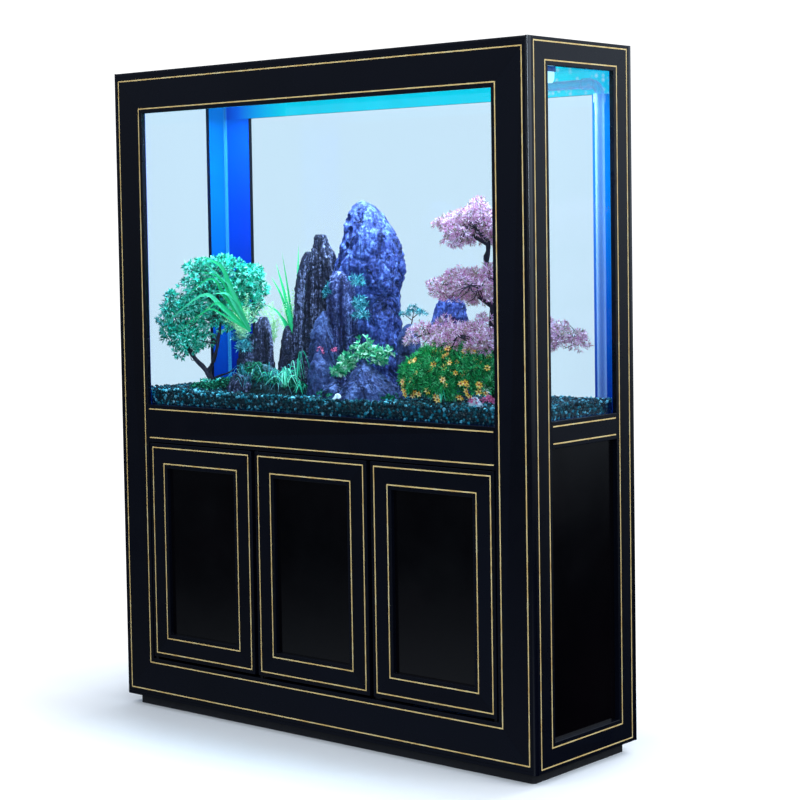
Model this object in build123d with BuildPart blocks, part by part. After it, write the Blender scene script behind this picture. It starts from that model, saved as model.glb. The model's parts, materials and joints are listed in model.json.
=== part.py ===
from build123d import *
import os

# A see-through divider aquarium: a glass tank and a three-door cabinet share one tall black
# lacquered casing, with thin brass lines let into every board. Millimetres, +Z up, +Y to the
# back. The origin is on the floor, under the middle of the casing.

# ---- Driving dimensions ------------------------------------------------------------------
LENGTH, DEPTH, HEIGHT = 1200, 360, 1480
HALF_X, HALF_Y = LENGTH / 2, DEPTH / 2

FACE_BOARD = 11  # thickness of the boards that show
BEAD = 5.6  # width of the corner bead beside the front boards
EDGE_ROUND = 1.2  # softened long edges of the boards
MITRE_GAP = 0.3  # open joint line between two boards
JOINT_GAP = 0.2  # open joint line between two panes or blocks
INLAY_WIDTH, INLAY_DEPTH = 2.6, 1.0
INLAY_MARGIN = 10  # from a board's edge to the middle of its brass line

PLINTH_HEIGHT, PLINTH_INSET, PLINTH_ROUND = 24, 21, 8
LIP = 7  # base board edge that shows under the front boards
CAP_FACE = 9.2  # cap edge that shows above the front boards
CAP_THICK, CAP_ROUND = 18, 4.6

FRONT_RAIL = 86.4
MID_RAIL_LOW = 626.2
SIDE_RAIL, SIDE_OUTER_MARGIN = 55.2, 8.5
SIDE_MID_LOW, SIDE_MID_HIGH = 667.5, 722

BASE_THICK, DECK_THICK = 18, 18
PANEL_THICK, POST = 6, 20
DIVIDER = 18  # thickness of the partition and the mullion
DIVIDER_X = 170  # the two lines between the doors
RAIL_DROP = 38  # height of the rail that carries the latches

DOOR_PITCH, DOOR_WIDTH, DOOR_THICK, DOOR_RAIL = 340, 329, 18, 56.5
DOOR_GAP_LOW, DOOR_GAP_HIGH = 6.4, 2.4
DOOR_PANEL_THICK, DOOR_REBATE = 8, 8
PIVOT_FROM_EDGE, PIVOT_FROM_FACE = 6, 5
PIN_RADIUS, RUNNING_FIT = 2, 0.05
PIN_IN_DOOR, PIN_IN_RAIL = 12, 10

GLASS, BOTTOM_GLASS = 8, 10
GLASS_TOP = 1440
TANK_PLAY = 1  # between the glass and the casing
GRAVEL_TOP = 748

RETURN_XY, RETURN_RADIUS = (546, 140), 10
OVERFLOW_XY, OVERFLOW_RADIUS = (340, 140), 13

# ---- Levels and faces worked out from them -----------------------------------------------
INNER_X, INNER_Y = HALF_X - FACE_BOARD, HALF_Y - FACE_BOARD
FRONT_HALF = HALF_X - BEAD
FRONT_LOW, FRONT_HIGH = PLINTH_HEIGHT + LIP, HEIGHT - CAP_FACE
OPENING_HALF = FRONT_HALF - FRONT_RAIL
OPENING_LOW = FRONT_LOW + FRONT_RAIL
MID_RAIL_HIGH = MID_RAIL_LOW + FRONT_RAIL
FLOOR_TOP = PLINTH_HEIGHT + BASE_THICK
TANK_X, TANK_Y = INNER_X - TANK_PLAY, INNER_Y - TANK_PLAY
DECK_LOW, DECK_HIGH = 674, 674 + DECK_THICK
GLASS_LOW = DECK_HIGH + BOTTOM_GLASS
WATER_X, WATER_Y = TANK_X - GLASS, TANK_Y - GLASS
DOOR_LOW, DOOR_HIGH = OPENING_LOW + DOOR_GAP_LOW, MID_RAIL_LOW - DOOR_GAP_HIGH
DOOR_BACK = -HALF_Y + DOOR_THICK

# Board faces: each plane lies on the inner face of its boards and looks outwards.
FRONT = Plane(origin=(0, -INNER_Y, 0), x_dir=(1, 0, 0), z_dir=(0, -1, 0))
BACK = Plane(origin=(0, INNER_Y, 0), x_dir=(-1, 0, 0), z_dir=(0, 1, 0))
LEFT = Plane(origin=(-INNER_X, 0, 0), x_dir=(0, -1, 0), z_dir=(-1, 0, 0))
RIGHT = Plane(origin=(INNER_X, 0, 0), x_dir=(0, 1, 0), z_dir=(1, 0, 0))

os.makedirs("parts", exist_ok=True)


def save(piece, name):
    """Labels a finished piece and writes it as its own STEP file."""
    piece.label = name
    export_step(piece, f"parts/{name}.step")


def slab(x, y, z, mode=Mode.ADD):
    """A rectangular block in the open part; x, y and z are (low, high) pairs."""
    with Locations((sum(x) / 2, sum(y) / 2, sum(z) / 2)):
        Box(x[1] - x[0], y[1] - y[0], z[1] - z[0], mode=mode)


def rod(centre, radius, z, mode=Mode.ADD):
    """An upright cylinder in the open part, from z[0] to z[1]."""
    with Locations((centre[0], centre[1], sum(z) / 2)):
        Cylinder(radius, z[1] - z[0], mode=mode)


def cross_rod(x, centre, radius, mode=Mode.ADD):
    """A cylinder along X in the open part; centre is its (y, z)."""
    with Locations((sum(x) / 2, *centre)):
        Cylinder(radius, x[1] - x[0], rotation=(0, 90, 0), mode=mode)


def depth_rod(y, centre, radius, mode=Mode.ADD):
    """A cylinder along Y in the open part; centre is its (x, z)."""
    with Locations((centre[0], sum(y) / 2, centre[1])):
        Cylinder(radius, y[1] - y[0], rotation=(90, 0, 0), mode=mode)


def ring(plane, half_width, low, high):
    """The brass line that runs once round a frame, as a sketch along its middle."""
    with BuildSketch(plane) as line:
        with Locations((0, (low + high) / 2)):
            Rectangle(2 * half_width + INLAY_WIDTH, high - low + INLAY_WIDTH)
            Rectangle(2 * half_width - INLAY_WIDTH, high - low - INLAY_WIDTH, mode=Mode.SUBTRACT)
    return line.sketch


def strip(plane, half_width, level):
    """A straight brass line across a rail, as a sketch."""
    with BuildSketch(plane) as line:
        with Locations((0, level)):
            Rectangle(2 * half_width, INLAY_WIDTH)
    return line.sketch


def mitred_boards(plane, thickness, half_width, low, high, rail, lines, centre=0):
    """Four mitred boards round an opening, with softened edges and grooves for the lines."""
    with BuildPart() as boards:
        with BuildSketch(plane):
            for side in (-1, 1):
                outer, inner = centre + side * half_width, centre + side * (half_width - rail)
                with BuildLine():
                    Polyline(
                        (outer, low + MITRE_GAP),
                        (inner, low + rail + MITRE_GAP),
                        (inner, high - rail - MITRE_GAP),
                        (outer, high - MITRE_GAP),
                        close=True,
                    )
                make_face()
            for outer, inner in ((low, low + rail), (high, high - rail)):
                with BuildLine():
                    Polyline(
                        (centre - half_width, outer),
                        (centre - half_width + rail, inner),
                        (centre + half_width - rail, inner),
                        (centre + half_width, outer),
                        close=True,
                    )
                make_face()
        extrude(amount=thickness)
        shown = boards.faces().group_by(Axis(plane.origin, plane.z_dir))[-1].edges()
        level = shown.filter_by(Axis(plane.origin, plane.x_dir))
        fillet(shown.filter_by(Axis.Z) + level, EDGE_ROUND)
        for line in lines:
            extrude(line, amount=-INLAY_DEPTH, mode=Mode.SUBTRACT)
    return boards.part


def cross_rail(plane, thickness, half_width, low, high, lines):
    """A rail that butts between two stiles."""
    with BuildPart() as rail:
        with BuildSketch(plane):
            with Locations((0, (low + high) / 2)):
                Rectangle(2 * (half_width - JOINT_GAP), high - low)
        extrude(amount=thickness)
        shown = rail.faces().group_by(Axis(plane.origin, plane.z_dir))[-1].edges()
        fillet(shown.filter_by(Axis(plane.origin, plane.x_dir)), EDGE_ROUND)
        for line in lines:
            extrude(line, amount=-INLAY_DEPTH, mode=Mode.SUBTRACT)
    return rail.part


def group(*parts):
    """Separate solids that share one node."""
    return Compound(children=[solid for part in parts for solid in part.solids()])


def lofted(sections):
    """A closed form through ellipses, each (x, y, z, half width, half depth)."""
    with BuildPart() as form:
        for x, y, z, half_width, half_depth in sections:
            with BuildSketch(Plane.XY.offset(z)):
                with Locations((x, y)):
                    Ellipse(half_width, half_depth)
        loft()
    return form.part


# ---- Casing: plinth, base board, deck ----------------------------------------------------
with BuildPart() as plinth:
    slab(
        (-HALF_X + PLINTH_INSET, HALF_X - PLINTH_INSET),
        (-HALF_Y + PLINTH_INSET, HALF_Y - PLINTH_INSET),
        (0, PLINTH_HEIGHT),
    )
    fillet(plinth.edges().filter_by(Axis.Z), PLINTH_ROUND)
save(plinth.part, "plinth")

with BuildPart() as base_board:
    slab((-INNER_X, INNER_X), (-INNER_Y, INNER_Y), (PLINTH_HEIGHT, FLOOR_TOP))
    slab((-FRONT_HALF, FRONT_HALF), (-HALF_Y, HALF_Y), (PLINTH_HEIGHT, FRONT_LOW - JOINT_GAP))
    for side in (-1, 1):
        wing = (side * INNER_X, side * FRONT_HALF)
        slab((min(wing), max(wing)), (-INNER_Y, INNER_Y), (PLINTH_HEIGHT, FRONT_LOW), Mode.SUBTRACT)
save(base_board.part, "base_board")

BULKHEAD_BARREL, BULKHEAD_FLANGE, BULKHEAD_NUT = 15, 19, 20
pipe_places = ((RETURN_XY, RETURN_RADIUS), (OVERFLOW_XY, OVERFLOW_RADIUS))
with BuildPart() as tank_deck:
    slab((-INNER_X, INNER_X), (-INNER_Y, INNER_Y), (DECK_LOW, DECK_HIGH))
    for place, _ in pipe_places:
        rod(place, BULKHEAD_BARREL + RUNNING_FIT, (DECK_LOW, DECK_HIGH), Mode.SUBTRACT)
save(tank_deck.part, "tank_deck")

# ---- Casing: front, back and side frames with their brass lines --------------------------
outer_half, inner_half = FRONT_HALF - INLAY_MARGIN, OPENING_HALF + INLAY_MARGIN
mid_low, mid_high = MID_RAIL_LOW + INLAY_MARGIN, MID_RAIL_HIGH - INLAY_MARGIN
side_outer, side_inner = INNER_Y - SIDE_OUTER_MARGIN, INNER_Y - SIDE_RAIL + INLAY_MARGIN
side_mid_half = INNER_Y - SIDE_RAIL
MID_LINE_SHORT = 4  # the mid rails' lines stop this far from the stiles


def face_lines(plane):
    """The two brass rings of the front or the back."""
    face = plane.offset(FACE_BOARD)
    return [
        ring(face, outer_half, FRONT_LOW + INLAY_MARGIN, FRONT_HIGH - INLAY_MARGIN),
        ring(face, inner_half, OPENING_LOW - INLAY_MARGIN, FRONT_HIGH - FRONT_RAIL + INLAY_MARGIN),
    ]


def face_mid_lines(plane):
    """The two brass lines of the front's or the back's mid rail."""
    face = plane.offset(FACE_BOARD)
    return [strip(face, OPENING_HALF - MID_LINE_SHORT, level) for level in (mid_low, mid_high)]


def side_lines(plane):
    """The two brass rings of one side."""
    face = plane.offset(FACE_BOARD)
    return [
        ring(face, side_outer, PLINTH_HEIGHT + SIDE_OUTER_MARGIN, HEIGHT - SIDE_OUTER_MARGIN),
        ring(
            face,
            side_inner,
            PLINTH_HEIGHT + SIDE_RAIL - INLAY_MARGIN,
            HEIGHT - SIDE_RAIL + INLAY_MARGIN,
        ),
    ]


def side_mid_lines(plane):
    """The two brass lines of one side's mid rail."""
    face = plane.offset(FACE_BOARD)
    levels = (SIDE_MID_LOW + INLAY_MARGIN, SIDE_MID_HIGH - INLAY_MARGIN)
    return [strip(face, side_mid_half - MID_LINE_SHORT, level) for level in levels]


def brass(lines):
    """The inlay itself: it fills its grooves flush with the boards."""
    with BuildPart() as inlay:
        for line in lines:
            extrude(line, amount=-INLAY_DEPTH)
    return inlay.part


def pivot_x(centre, hinge_side):
    """Where a door's pivot axis stands along X."""
    return centre + hinge_side * (DOOR_WIDTH / 2 - PIVOT_FROM_EDGE)


DOORS = (("left", -DOOR_PITCH, -1), ("middle", 0, -1), ("right", DOOR_PITCH, 1))
PIVOT_Y = -HALF_Y + PIVOT_FROM_FACE
PIN_HOLE = PIN_RADIUS + RUNNING_FIT
HOLE_SPARE = 0.5  # a pin hole is this much deeper than its pin

front_boards = mitred_boards(
    FRONT, FACE_BOARD, FRONT_HALF, FRONT_LOW, FRONT_HIGH, FRONT_RAIL, face_lines(FRONT)
)
with BuildPart() as front_frame:
    add(front_boards)
    for _, centre, hinge_side in DOORS:
        hole = (OPENING_LOW - PIN_IN_RAIL - HOLE_SPARE, OPENING_LOW)
        rod((pivot_x(centre, hinge_side), PIVOT_Y), PIN_HOLE, hole, Mode.SUBTRACT)
save(front_frame.part, "front_frame")

with BuildPart() as front_mid_rail:
    add(
        cross_rail(
            FRONT, FACE_BOARD, OPENING_HALF, MID_RAIL_LOW, MID_RAIL_HIGH, face_mid_lines(FRONT)
        )
    )
    for _, centre, hinge_side in DOORS:
        hole = (MID_RAIL_LOW, MID_RAIL_LOW + PIN_IN_RAIL + HOLE_SPARE)
        rod((pivot_x(centre, hinge_side), PIVOT_Y), PIN_HOLE, hole, Mode.SUBTRACT)
save(front_mid_rail.part, "front_mid_rail")

back_boards = mitred_boards(
    BACK, FACE_BOARD, FRONT_HALF, FRONT_LOW, FRONT_HIGH, FRONT_RAIL, face_lines(BACK)
)
back_mid = cross_rail(
    BACK, FACE_BOARD, OPENING_HALF, MID_RAIL_LOW, MID_RAIL_HIGH, face_mid_lines(BACK)
)
save(group(back_boards, back_mid), "back_frame")

for plane, name in ((LEFT, "left_side_frame"), (RIGHT, "right_side_frame")):
    boards = mitred_boards(
        plane, FACE_BOARD, INNER_Y, PLINTH_HEIGHT, HEIGHT, SIDE_RAIL, side_lines(plane)
    )
    side_mid = cross_rail(
        plane, FACE_BOARD, side_mid_half, SIDE_MID_LOW, SIDE_MID_HIGH, side_mid_lines(plane)
    )
    save(group(boards, side_mid), name)

inlay_lines = []
for plane in (FRONT, BACK):
    inlay_lines += face_lines(plane) + face_mid_lines(plane)
for plane in (LEFT, RIGHT):
    inlay_lines += side_lines(plane) + side_mid_lines(plane)
save(brass(inlay_lines), "frame_inlays")

# ---- Casing: corner beads, posts, cap and lids -------------------------------------------
BEAD_ROUND = 5
with BuildPart() as corner_beads:
    for side in (-1, 1):
        for end in (-1, 1):
            x, y = sorted((side * FRONT_HALF, side * HALF_X)), sorted((end * INNER_Y, end * HALF_Y))
            slab(x, y, (PLINTH_HEIGHT, HEIGHT))
    upright = corner_beads.edges().filter_by(Axis.Z)
    outer_corners = upright.group_by(lambda edge: round(abs(edge.center().X * edge.center().Y)))[-1]
    fillet(outer_corners, BEAD_ROUND)
save(corner_beads.part, "corner_beads")

with BuildPart() as corner_posts:
    for side in (-1, 1):
        for end in (-1, 1):
            x = sorted((side * INNER_X, side * (INNER_X - POST)))
            y = sorted((end * INNER_Y, end * (INNER_Y - POST)))
            slab(x, y, (FLOOR_TOP, DECK_LOW))
save(corner_posts.part, "corner_posts")

LID_THICK, LID_PLAY, LID_LEDGE = 9, 1, 10
LID_LOW, CAP_LOW = HEIGHT - LID_THICK, HEIGHT - CAP_THICK
CAP_OPENING_Y, CAP_OPENING_X, CAP_BAR = 110, 540, 10
LID_ROUND = 4.4  # full round of a lid's rear edge, about its pins
LID_PIN_Y, LID_PIN_Z = CAP_OPENING_Y - LID_PLAY - LID_THICK / 2, HEIGHT - LID_THICK / 2
LID_PIN_DEEP, CAP_PIN_DEEP = 12, 8
NOTCH_WIDTH, NOTCH_DEEP = 50, 20
LID_HALF = (CAP_OPENING_X - CAP_BAR) / 2 - LID_PLAY
LID_X = (CAP_OPENING_X + CAP_BAR) / 2
# Inner faces of the cap that hold a lid pin, with the way from the cap into the lid.
LID_PIN_FACES = ((CAP_BAR, 1), (CAP_OPENING_X, -1), (-CAP_BAR, -1), (-CAP_OPENING_X, 1))

with BuildPart() as top_cap:
    slab((-INNER_X, INNER_X), (-INNER_Y, -CAP_OPENING_Y), (CAP_LOW, HEIGHT))
    slab((-INNER_X, INNER_X), (CAP_OPENING_Y, INNER_Y), (CAP_LOW, HEIGHT))
    slab((-FRONT_HALF, FRONT_HALF), (-HALF_Y, -INNER_Y), (FRONT_HIGH, HEIGHT))
    slab((-FRONT_HALF, FRONT_HALF), (INNER_Y, HALF_Y), (FRONT_HIGH, HEIGHT))
    fillet(
        top_cap.edges().filter_by(Axis.X).filter_by(lambda edge: abs(edge.center().Y) > INNER_Y)
        .group_by(Axis.Z)[-1],
        CAP_ROUND,
    )
    for side in (-1, 1):
        ledge = sorted((side * (CAP_BAR + JOINT_GAP), side * (CAP_OPENING_X - JOINT_GAP)))
        slab(ledge, (-CAP_OPENING_Y, -CAP_OPENING_Y + LID_LEDGE), (CAP_LOW, LID_LOW))
        ends = sorted((side * CAP_OPENING_X, side * INNER_X))
        slab(ends, (-CAP_OPENING_Y + JOINT_GAP, CAP_OPENING_Y - JOINT_GAP), (CAP_LOW, HEIGHT))
    slab(
        (-CAP_BAR, CAP_BAR),
        (-CAP_OPENING_Y + JOINT_GAP, CAP_OPENING_Y - JOINT_GAP),
        (CAP_LOW, HEIGHT),
    )
    for face, inward in LID_PIN_FACES:
        hole = sorted((face, face - inward * CAP_PIN_DEEP))
        cross_rod(hole, (LID_PIN_Y, LID_PIN_Z), PIN_RADIUS, Mode.SUBTRACT)
save(top_cap.part, "top_cap")

with BuildPart() as lid_pins:
    for face, inward in LID_PIN_FACES:
        span = sorted((face - inward * CAP_PIN_DEEP, face + inward * (LID_PLAY + LID_PIN_DEEP)))
        cross_rod(span, (LID_PIN_Y, LID_PIN_Z), PIN_RADIUS)
save(lid_pins.part, "lid_pins")

for side, name in ((-1, "left_lid"), (1, "right_lid")):
    lid_span = (side * LID_X - LID_HALF, side * LID_X + LID_HALF)
    lid_front = -CAP_OPENING_Y + LID_PLAY
    with BuildPart() as lid:
        slab(lid_span, (lid_front, CAP_OPENING_Y - LID_PLAY), (LID_LOW, HEIGHT))
        fillet(lid.edges().filter_by(Axis.X).group_by(Axis.Y)[-1], LID_ROUND)
        with BuildSketch(Plane.XY.offset(LID_LOW)):
            with Locations((side * LID_X, lid_front)):
                SlotOverall(NOTCH_WIDTH, 2 * NOTCH_DEEP)
        extrude(amount=LID_THICK, mode=Mode.SUBTRACT)
        for face in lid_span:
            inward = 1 if face == lid_span[0] else -1
            hole = sorted((face, face + inward * (LID_PIN_DEEP + HOLE_SPARE)))
            cross_rod(hole, (LID_PIN_Y, LID_PIN_Z), PIN_HOLE, Mode.SUBTRACT)
    save(lid.part, name)

# ---- Cabinet: panels, partition, mullion, latch rail -------------------------------------
with BuildPart() as side_panels:
    half_span = INNER_Y - POST - JOINT_GAP
    for side in (-1, 1):
        x = sorted((side * INNER_X, side * (INNER_X - PANEL_THICK)))
        slab(x, (-half_span, half_span), (FLOOR_TOP, DECK_LOW))
save(side_panels.part, "side_panels")

CABLE_HOLE, CABLE_BORE, CABLE_FLANGE = 30, 25, 36
CABLE_XZ = (0, 560)
GROMMET_INSIDE, GROMMET_FLANGE = 3, 2.5
panel_half = INNER_X - POST - JOINT_GAP
with BuildPart() as back_panel:
    slab((-panel_half, panel_half), (INNER_Y - PANEL_THICK, INNER_Y), (FLOOR_TOP, DECK_LOW))
    depth_rod((INNER_Y - PANEL_THICK, INNER_Y), CABLE_XZ, CABLE_HOLE, Mode.SUBTRACT)
save(back_panel.part, "back_panel")

grommet_span = (INNER_Y - PANEL_THICK - GROMMET_INSIDE, INNER_Y + GROMMET_FLANGE)
with BuildPart() as cable_grommet:
    depth_rod((grommet_span[0], INNER_Y), CABLE_XZ, CABLE_HOLE)
    depth_rod((INNER_Y, grommet_span[1]), CABLE_XZ, CABLE_FLANGE)
    depth_rod(grommet_span, CABLE_XZ, CABLE_BORE, Mode.SUBTRACT)
save(cable_grommet.part, "cable_grommet")

DIVIDER_FRONT, MULLION_DEPTH = -158, 40
LATCH_RAIL_BACK, LATCH_RAIL_LOW = -INNER_Y + 55, DECK_LOW - RAIL_DROP
with BuildPart() as partition:
    with BuildSketch(Plane.YZ.offset(DIVIDER_X - DIVIDER / 2)):
        with BuildLine():
            Polyline(
                (DIVIDER_FRONT, FLOOR_TOP),
                (INNER_Y - PANEL_THICK, FLOOR_TOP),
                (INNER_Y - PANEL_THICK, DECK_LOW),
                (LATCH_RAIL_BACK, DECK_LOW),
                (LATCH_RAIL_BACK, LATCH_RAIL_LOW),
                (DIVIDER_FRONT, LATCH_RAIL_LOW),
                close=True,
            )
        make_face()
    extrude(amount=DIVIDER)

with BuildPart() as mullion:
    slab(
        (-DIVIDER_X - DIVIDER / 2, -DIVIDER_X + DIVIDER / 2),
        (DIVIDER_FRONT, DIVIDER_FRONT + MULLION_DEPTH),
        (FLOOR_TOP, LATCH_RAIL_LOW),
    )
save(group(partition.part, mullion.part), "dividers")

with BuildPart() as latch_rail:
    slab((-panel_half, panel_half), (-INNER_Y, LATCH_RAIL_BACK), (LATCH_RAIL_LOW, DECK_LOW))
save(latch_rail.part, "latch_rail")

# ---- Doors, their pivots and their push latches ------------------------------------------
LATCH_Z, LATCH_FROM_EDGE = 612, 24
LATCH_HALF, LATCH_LOW, LATCH_FRONT, LATCH_BACK = 8, 604, -152, -92
PLATE_HALF_X, PLATE_HALF_Z, PLATE_THICK, PLATE_PLAY = 12, 8, 1, 0.2
PLUNGER_RADIUS, PLUNGER_LENGTH, TIP_RADIUS, TIP_THICK = 4, 34, 6, 2
BORE_DEPTH = 30
plunger_front = DOOR_BACK + PLATE_THICK + PLATE_PLAY

for name, centre, hinge_side in DOORS:
    door_plane = Plane(origin=(centre, DOOR_BACK, 0), x_dir=(1, 0, 0), z_dir=(0, -1, 0))
    door_face = door_plane.offset(DOOR_THICK)
    half, inner = DOOR_WIDTH / 2, DOOR_WIDTH / 2 - DOOR_RAIL
    door_lines = [
        ring(
            door_face, half - INLAY_MARGIN, DOOR_LOW + INLAY_MARGIN, DOOR_HIGH - INLAY_MARGIN
        ),
        ring(
            door_face,
            inner + INLAY_MARGIN,
            DOOR_LOW + DOOR_RAIL - INLAY_MARGIN,
            DOOR_HIGH - DOOR_RAIL + INLAY_MARGIN,
        ),
    ]
    boards = mitred_boards(
        door_plane, DOOR_THICK, half, DOOR_LOW, DOOR_HIGH, DOOR_RAIL, door_lines
    )
    panel_x = (centre - inner - DOOR_REBATE, centre + inner + DOOR_REBATE)
    panel_y = (DOOR_BACK - DOOR_PANEL_THICK, DOOR_BACK)
    panel_z = (DOOR_LOW + DOOR_RAIL - DOOR_REBATE, DOOR_HIGH - DOOR_RAIL + DOOR_REBATE)
    pivot = (pivot_x(centre, hinge_side), PIVOT_Y)
    latch_x = centre - hinge_side * (half - LATCH_FROM_EDGE)

    with BuildPart() as door_frame:
        add(boards)
        slab(panel_x, panel_y, panel_z, Mode.SUBTRACT)
        rod(pivot, PIN_RADIUS, (DOOR_LOW, DOOR_LOW + PIN_IN_DOOR), Mode.SUBTRACT)
        rod(pivot, PIN_RADIUS, (DOOR_HIGH - PIN_IN_DOOR, DOOR_HIGH), Mode.SUBTRACT)
    save(door_frame.part, f"door_frame_{name}")

    with BuildPart() as door_panel:
        slab(panel_x, panel_y, panel_z)
    save(door_panel.part, f"door_panel_{name}")

    save(brass(door_lines), f"door_inlay_{name}")

    COLLAR_RADIUS, COLLAR_PLAY = 4, 0.1
    with BuildPart() as door_hardware:
        rod(pivot, PIN_RADIUS, (OPENING_LOW - PIN_IN_RAIL, DOOR_LOW + PIN_IN_DOOR))
        rod(pivot, COLLAR_RADIUS, (OPENING_LOW + COLLAR_PLAY, DOOR_LOW))
        rod(pivot, PIN_RADIUS, (DOOR_HIGH - PIN_IN_DOOR, MID_RAIL_LOW + PIN_IN_RAIL))
        slab(
            (latch_x - PLATE_HALF_X, latch_x + PLATE_HALF_X),
            (DOOR_BACK, DOOR_BACK + PLATE_THICK),
            (LATCH_Z - PLATE_HALF_Z, LATCH_Z + PLATE_HALF_Z),
        )
    save(door_hardware.part, f"door_hardware_{name}")

    with BuildPart() as latch_plunger:
        depth_rod((plunger_front, plunger_front + TIP_THICK), (latch_x, LATCH_Z), TIP_RADIUS)
        depth_rod(
            (plunger_front, plunger_front + PLUNGER_LENGTH), (latch_x, LATCH_Z), PLUNGER_RADIUS
        )
    save(latch_plunger.part, f"latch_plunger_{name}")

with BuildPart() as latch_bodies:
    for _, centre, hinge_side in DOORS:
        latch_x = centre - hinge_side * (DOOR_WIDTH / 2 - LATCH_FROM_EDGE)
        slab(
            (latch_x - LATCH_HALF, latch_x + LATCH_HALF),
            (LATCH_FRONT, LATCH_BACK),
            (LATCH_LOW, LATCH_RAIL_LOW),
        )
        depth_rod(
            (LATCH_FRONT, LATCH_FRONT + BORE_DEPTH),
            (latch_x, LATCH_Z),
            PLUNGER_RADIUS + RUNNING_FIT,
            Mode.SUBTRACT,
        )
save(latch_bodies.part, "latch_bodies")

# ---- Tank: glass, silicone, braces -------------------------------------------------------
with BuildPart() as tank_bottom_glass:
    slab((-TANK_X, TANK_X), (-TANK_Y, TANK_Y), (DECK_HIGH, GLASS_LOW))
    for place, _ in pipe_places:
        rod(place, BULKHEAD_BARREL + RUNNING_FIT, (DECK_HIGH, GLASS_LOW), Mode.SUBTRACT)
save(tank_bottom_glass.part, "tank_bottom_glass")

with BuildPart() as tank_front_glass:
    slab((-TANK_X, TANK_X), (-TANK_Y, -WATER_Y), (GLASS_LOW, GLASS_TOP))
save(tank_front_glass.part, "tank_front_glass")

with BuildPart() as tank_back_glass:
    slab((-TANK_X, TANK_X), (WATER_Y, TANK_Y), (GLASS_LOW, GLASS_TOP))
save(tank_back_glass.part, "tank_back_glass")

with BuildPart() as tank_side_glass:
    for side in (-1, 1):
        x = sorted((side * WATER_X, side * TANK_X))
        slab(x, (-WATER_Y, WATER_Y), (GLASS_LOW, GLASS_TOP))
save(tank_side_glass.part, "tank_side_glass")

BRACE_WIDTH, BRACE_THICK = 50, 8
with BuildPart() as tank_braces:
    for end in (-1, 1):
        y = sorted((end * (WATER_Y - JOINT_GAP), end * (WATER_Y - BRACE_WIDTH)))
        slab((-WATER_X + JOINT_GAP, WATER_X - JOINT_GAP), y, (GLASS_TOP - BRACE_THICK, GLASS_TOP))
save(tank_braces.part, "tank_braces")

SEAM = 6
with BuildPart() as silicone_seams:
    for side in (-1, 1):
        for end in (-1, 1):
            with BuildSketch(Plane.XY.offset(GRAVEL_TOP)):
                with BuildLine():
                    Polyline(
                        (side * WATER_X, end * WATER_Y),
                        (side * (WATER_X - SEAM), end * WATER_Y),
                        (side * WATER_X, end * (WATER_Y - SEAM)),
                        close=True,
                    )
                make_face()
    extrude(amount=GLASS_TOP - BRACE_THICK - GRAVEL_TOP)
save(silicone_seams.part, "silicone_seams")

# ---- Light bar ---------------------------------------------------------------------------
LAMP_LOW, LAMP_MID, LAMP_HIGH = 1397, 1420, 1434
LAMP_HALF_X, LAMP_HALF_Y, LAMP_ROUND = 548, 35, 4
LAMP_Y = -48  # the lamp hangs towards the front, behind the top rail
DIFFUSER_HALF_X, DIFFUSER_HALF_Y, DIFFUSER_ROUND = 546, 30, 12
HOOK_HALF, HOOK_THICK, HOOK_START = 12, 2, 536
with BuildPart() as light_bar:
    slab((-LAMP_HALF_X, LAMP_HALF_X), (LAMP_Y - LAMP_HALF_Y, LAMP_Y + LAMP_HALF_Y), (LAMP_MID, LAMP_HIGH))
    fillet(light_bar.edges().filter_by(Axis.Z), LAMP_ROUND)
    for side in (-1, 1):
        hook = sorted((side * HOOK_START, side * TANK_X))
        slab(hook, (LAMP_Y - HOOK_HALF, LAMP_Y + HOOK_HALF), (GLASS_TOP, GLASS_TOP + HOOK_THICK))
        leg = sorted((side * HOOK_START, side * (HOOK_START + HOOK_THICK)))
        slab(leg, (LAMP_Y - HOOK_HALF, LAMP_Y + HOOK_HALF), (LAMP_HIGH, GLASS_TOP))
save(light_bar.part, "light_bar")

with BuildPart() as light_diffuser:
    slab(
        (-DIFFUSER_HALF_X, DIFFUSER_HALF_X),
        (LAMP_Y - DIFFUSER_HALF_Y, LAMP_Y + DIFFUSER_HALF_Y),
        (LAMP_LOW, LAMP_MID),
    )
    fillet(light_diffuser.faces().sort_by(Axis.Z)[0].edges().filter_by(Axis.X), DIFFUSER_ROUND)
save(light_diffuser.part, "light_diffuser")

# ---- Pipes through the tank floor --------------------------------------------------------
FLANGE_THICK, NUT_THICK, BARREL_LOW = 5, 8, 664
with BuildPart() as bulkheads:
    for place, radius in pipe_places:
        rod(place, BULKHEAD_BARREL, (BARREL_LOW, GLASS_LOW))
        rod(place, BULKHEAD_FLANGE, (GLASS_LOW, GLASS_LOW + FLANGE_THICK))
        with BuildSketch(Plane.XY.offset(DECK_LOW - NUT_THICK)):
            with Locations(place):
                RegularPolygon(BULKHEAD_NUT, 6)
        extrude(amount=NUT_THICK)
        bore = (BARREL_LOW, GLASS_LOW + FLANGE_THICK)
        rod(place, radius + RUNNING_FIT, bore, Mode.SUBTRACT)
save(bulkheads.part, "bulkheads")

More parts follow.
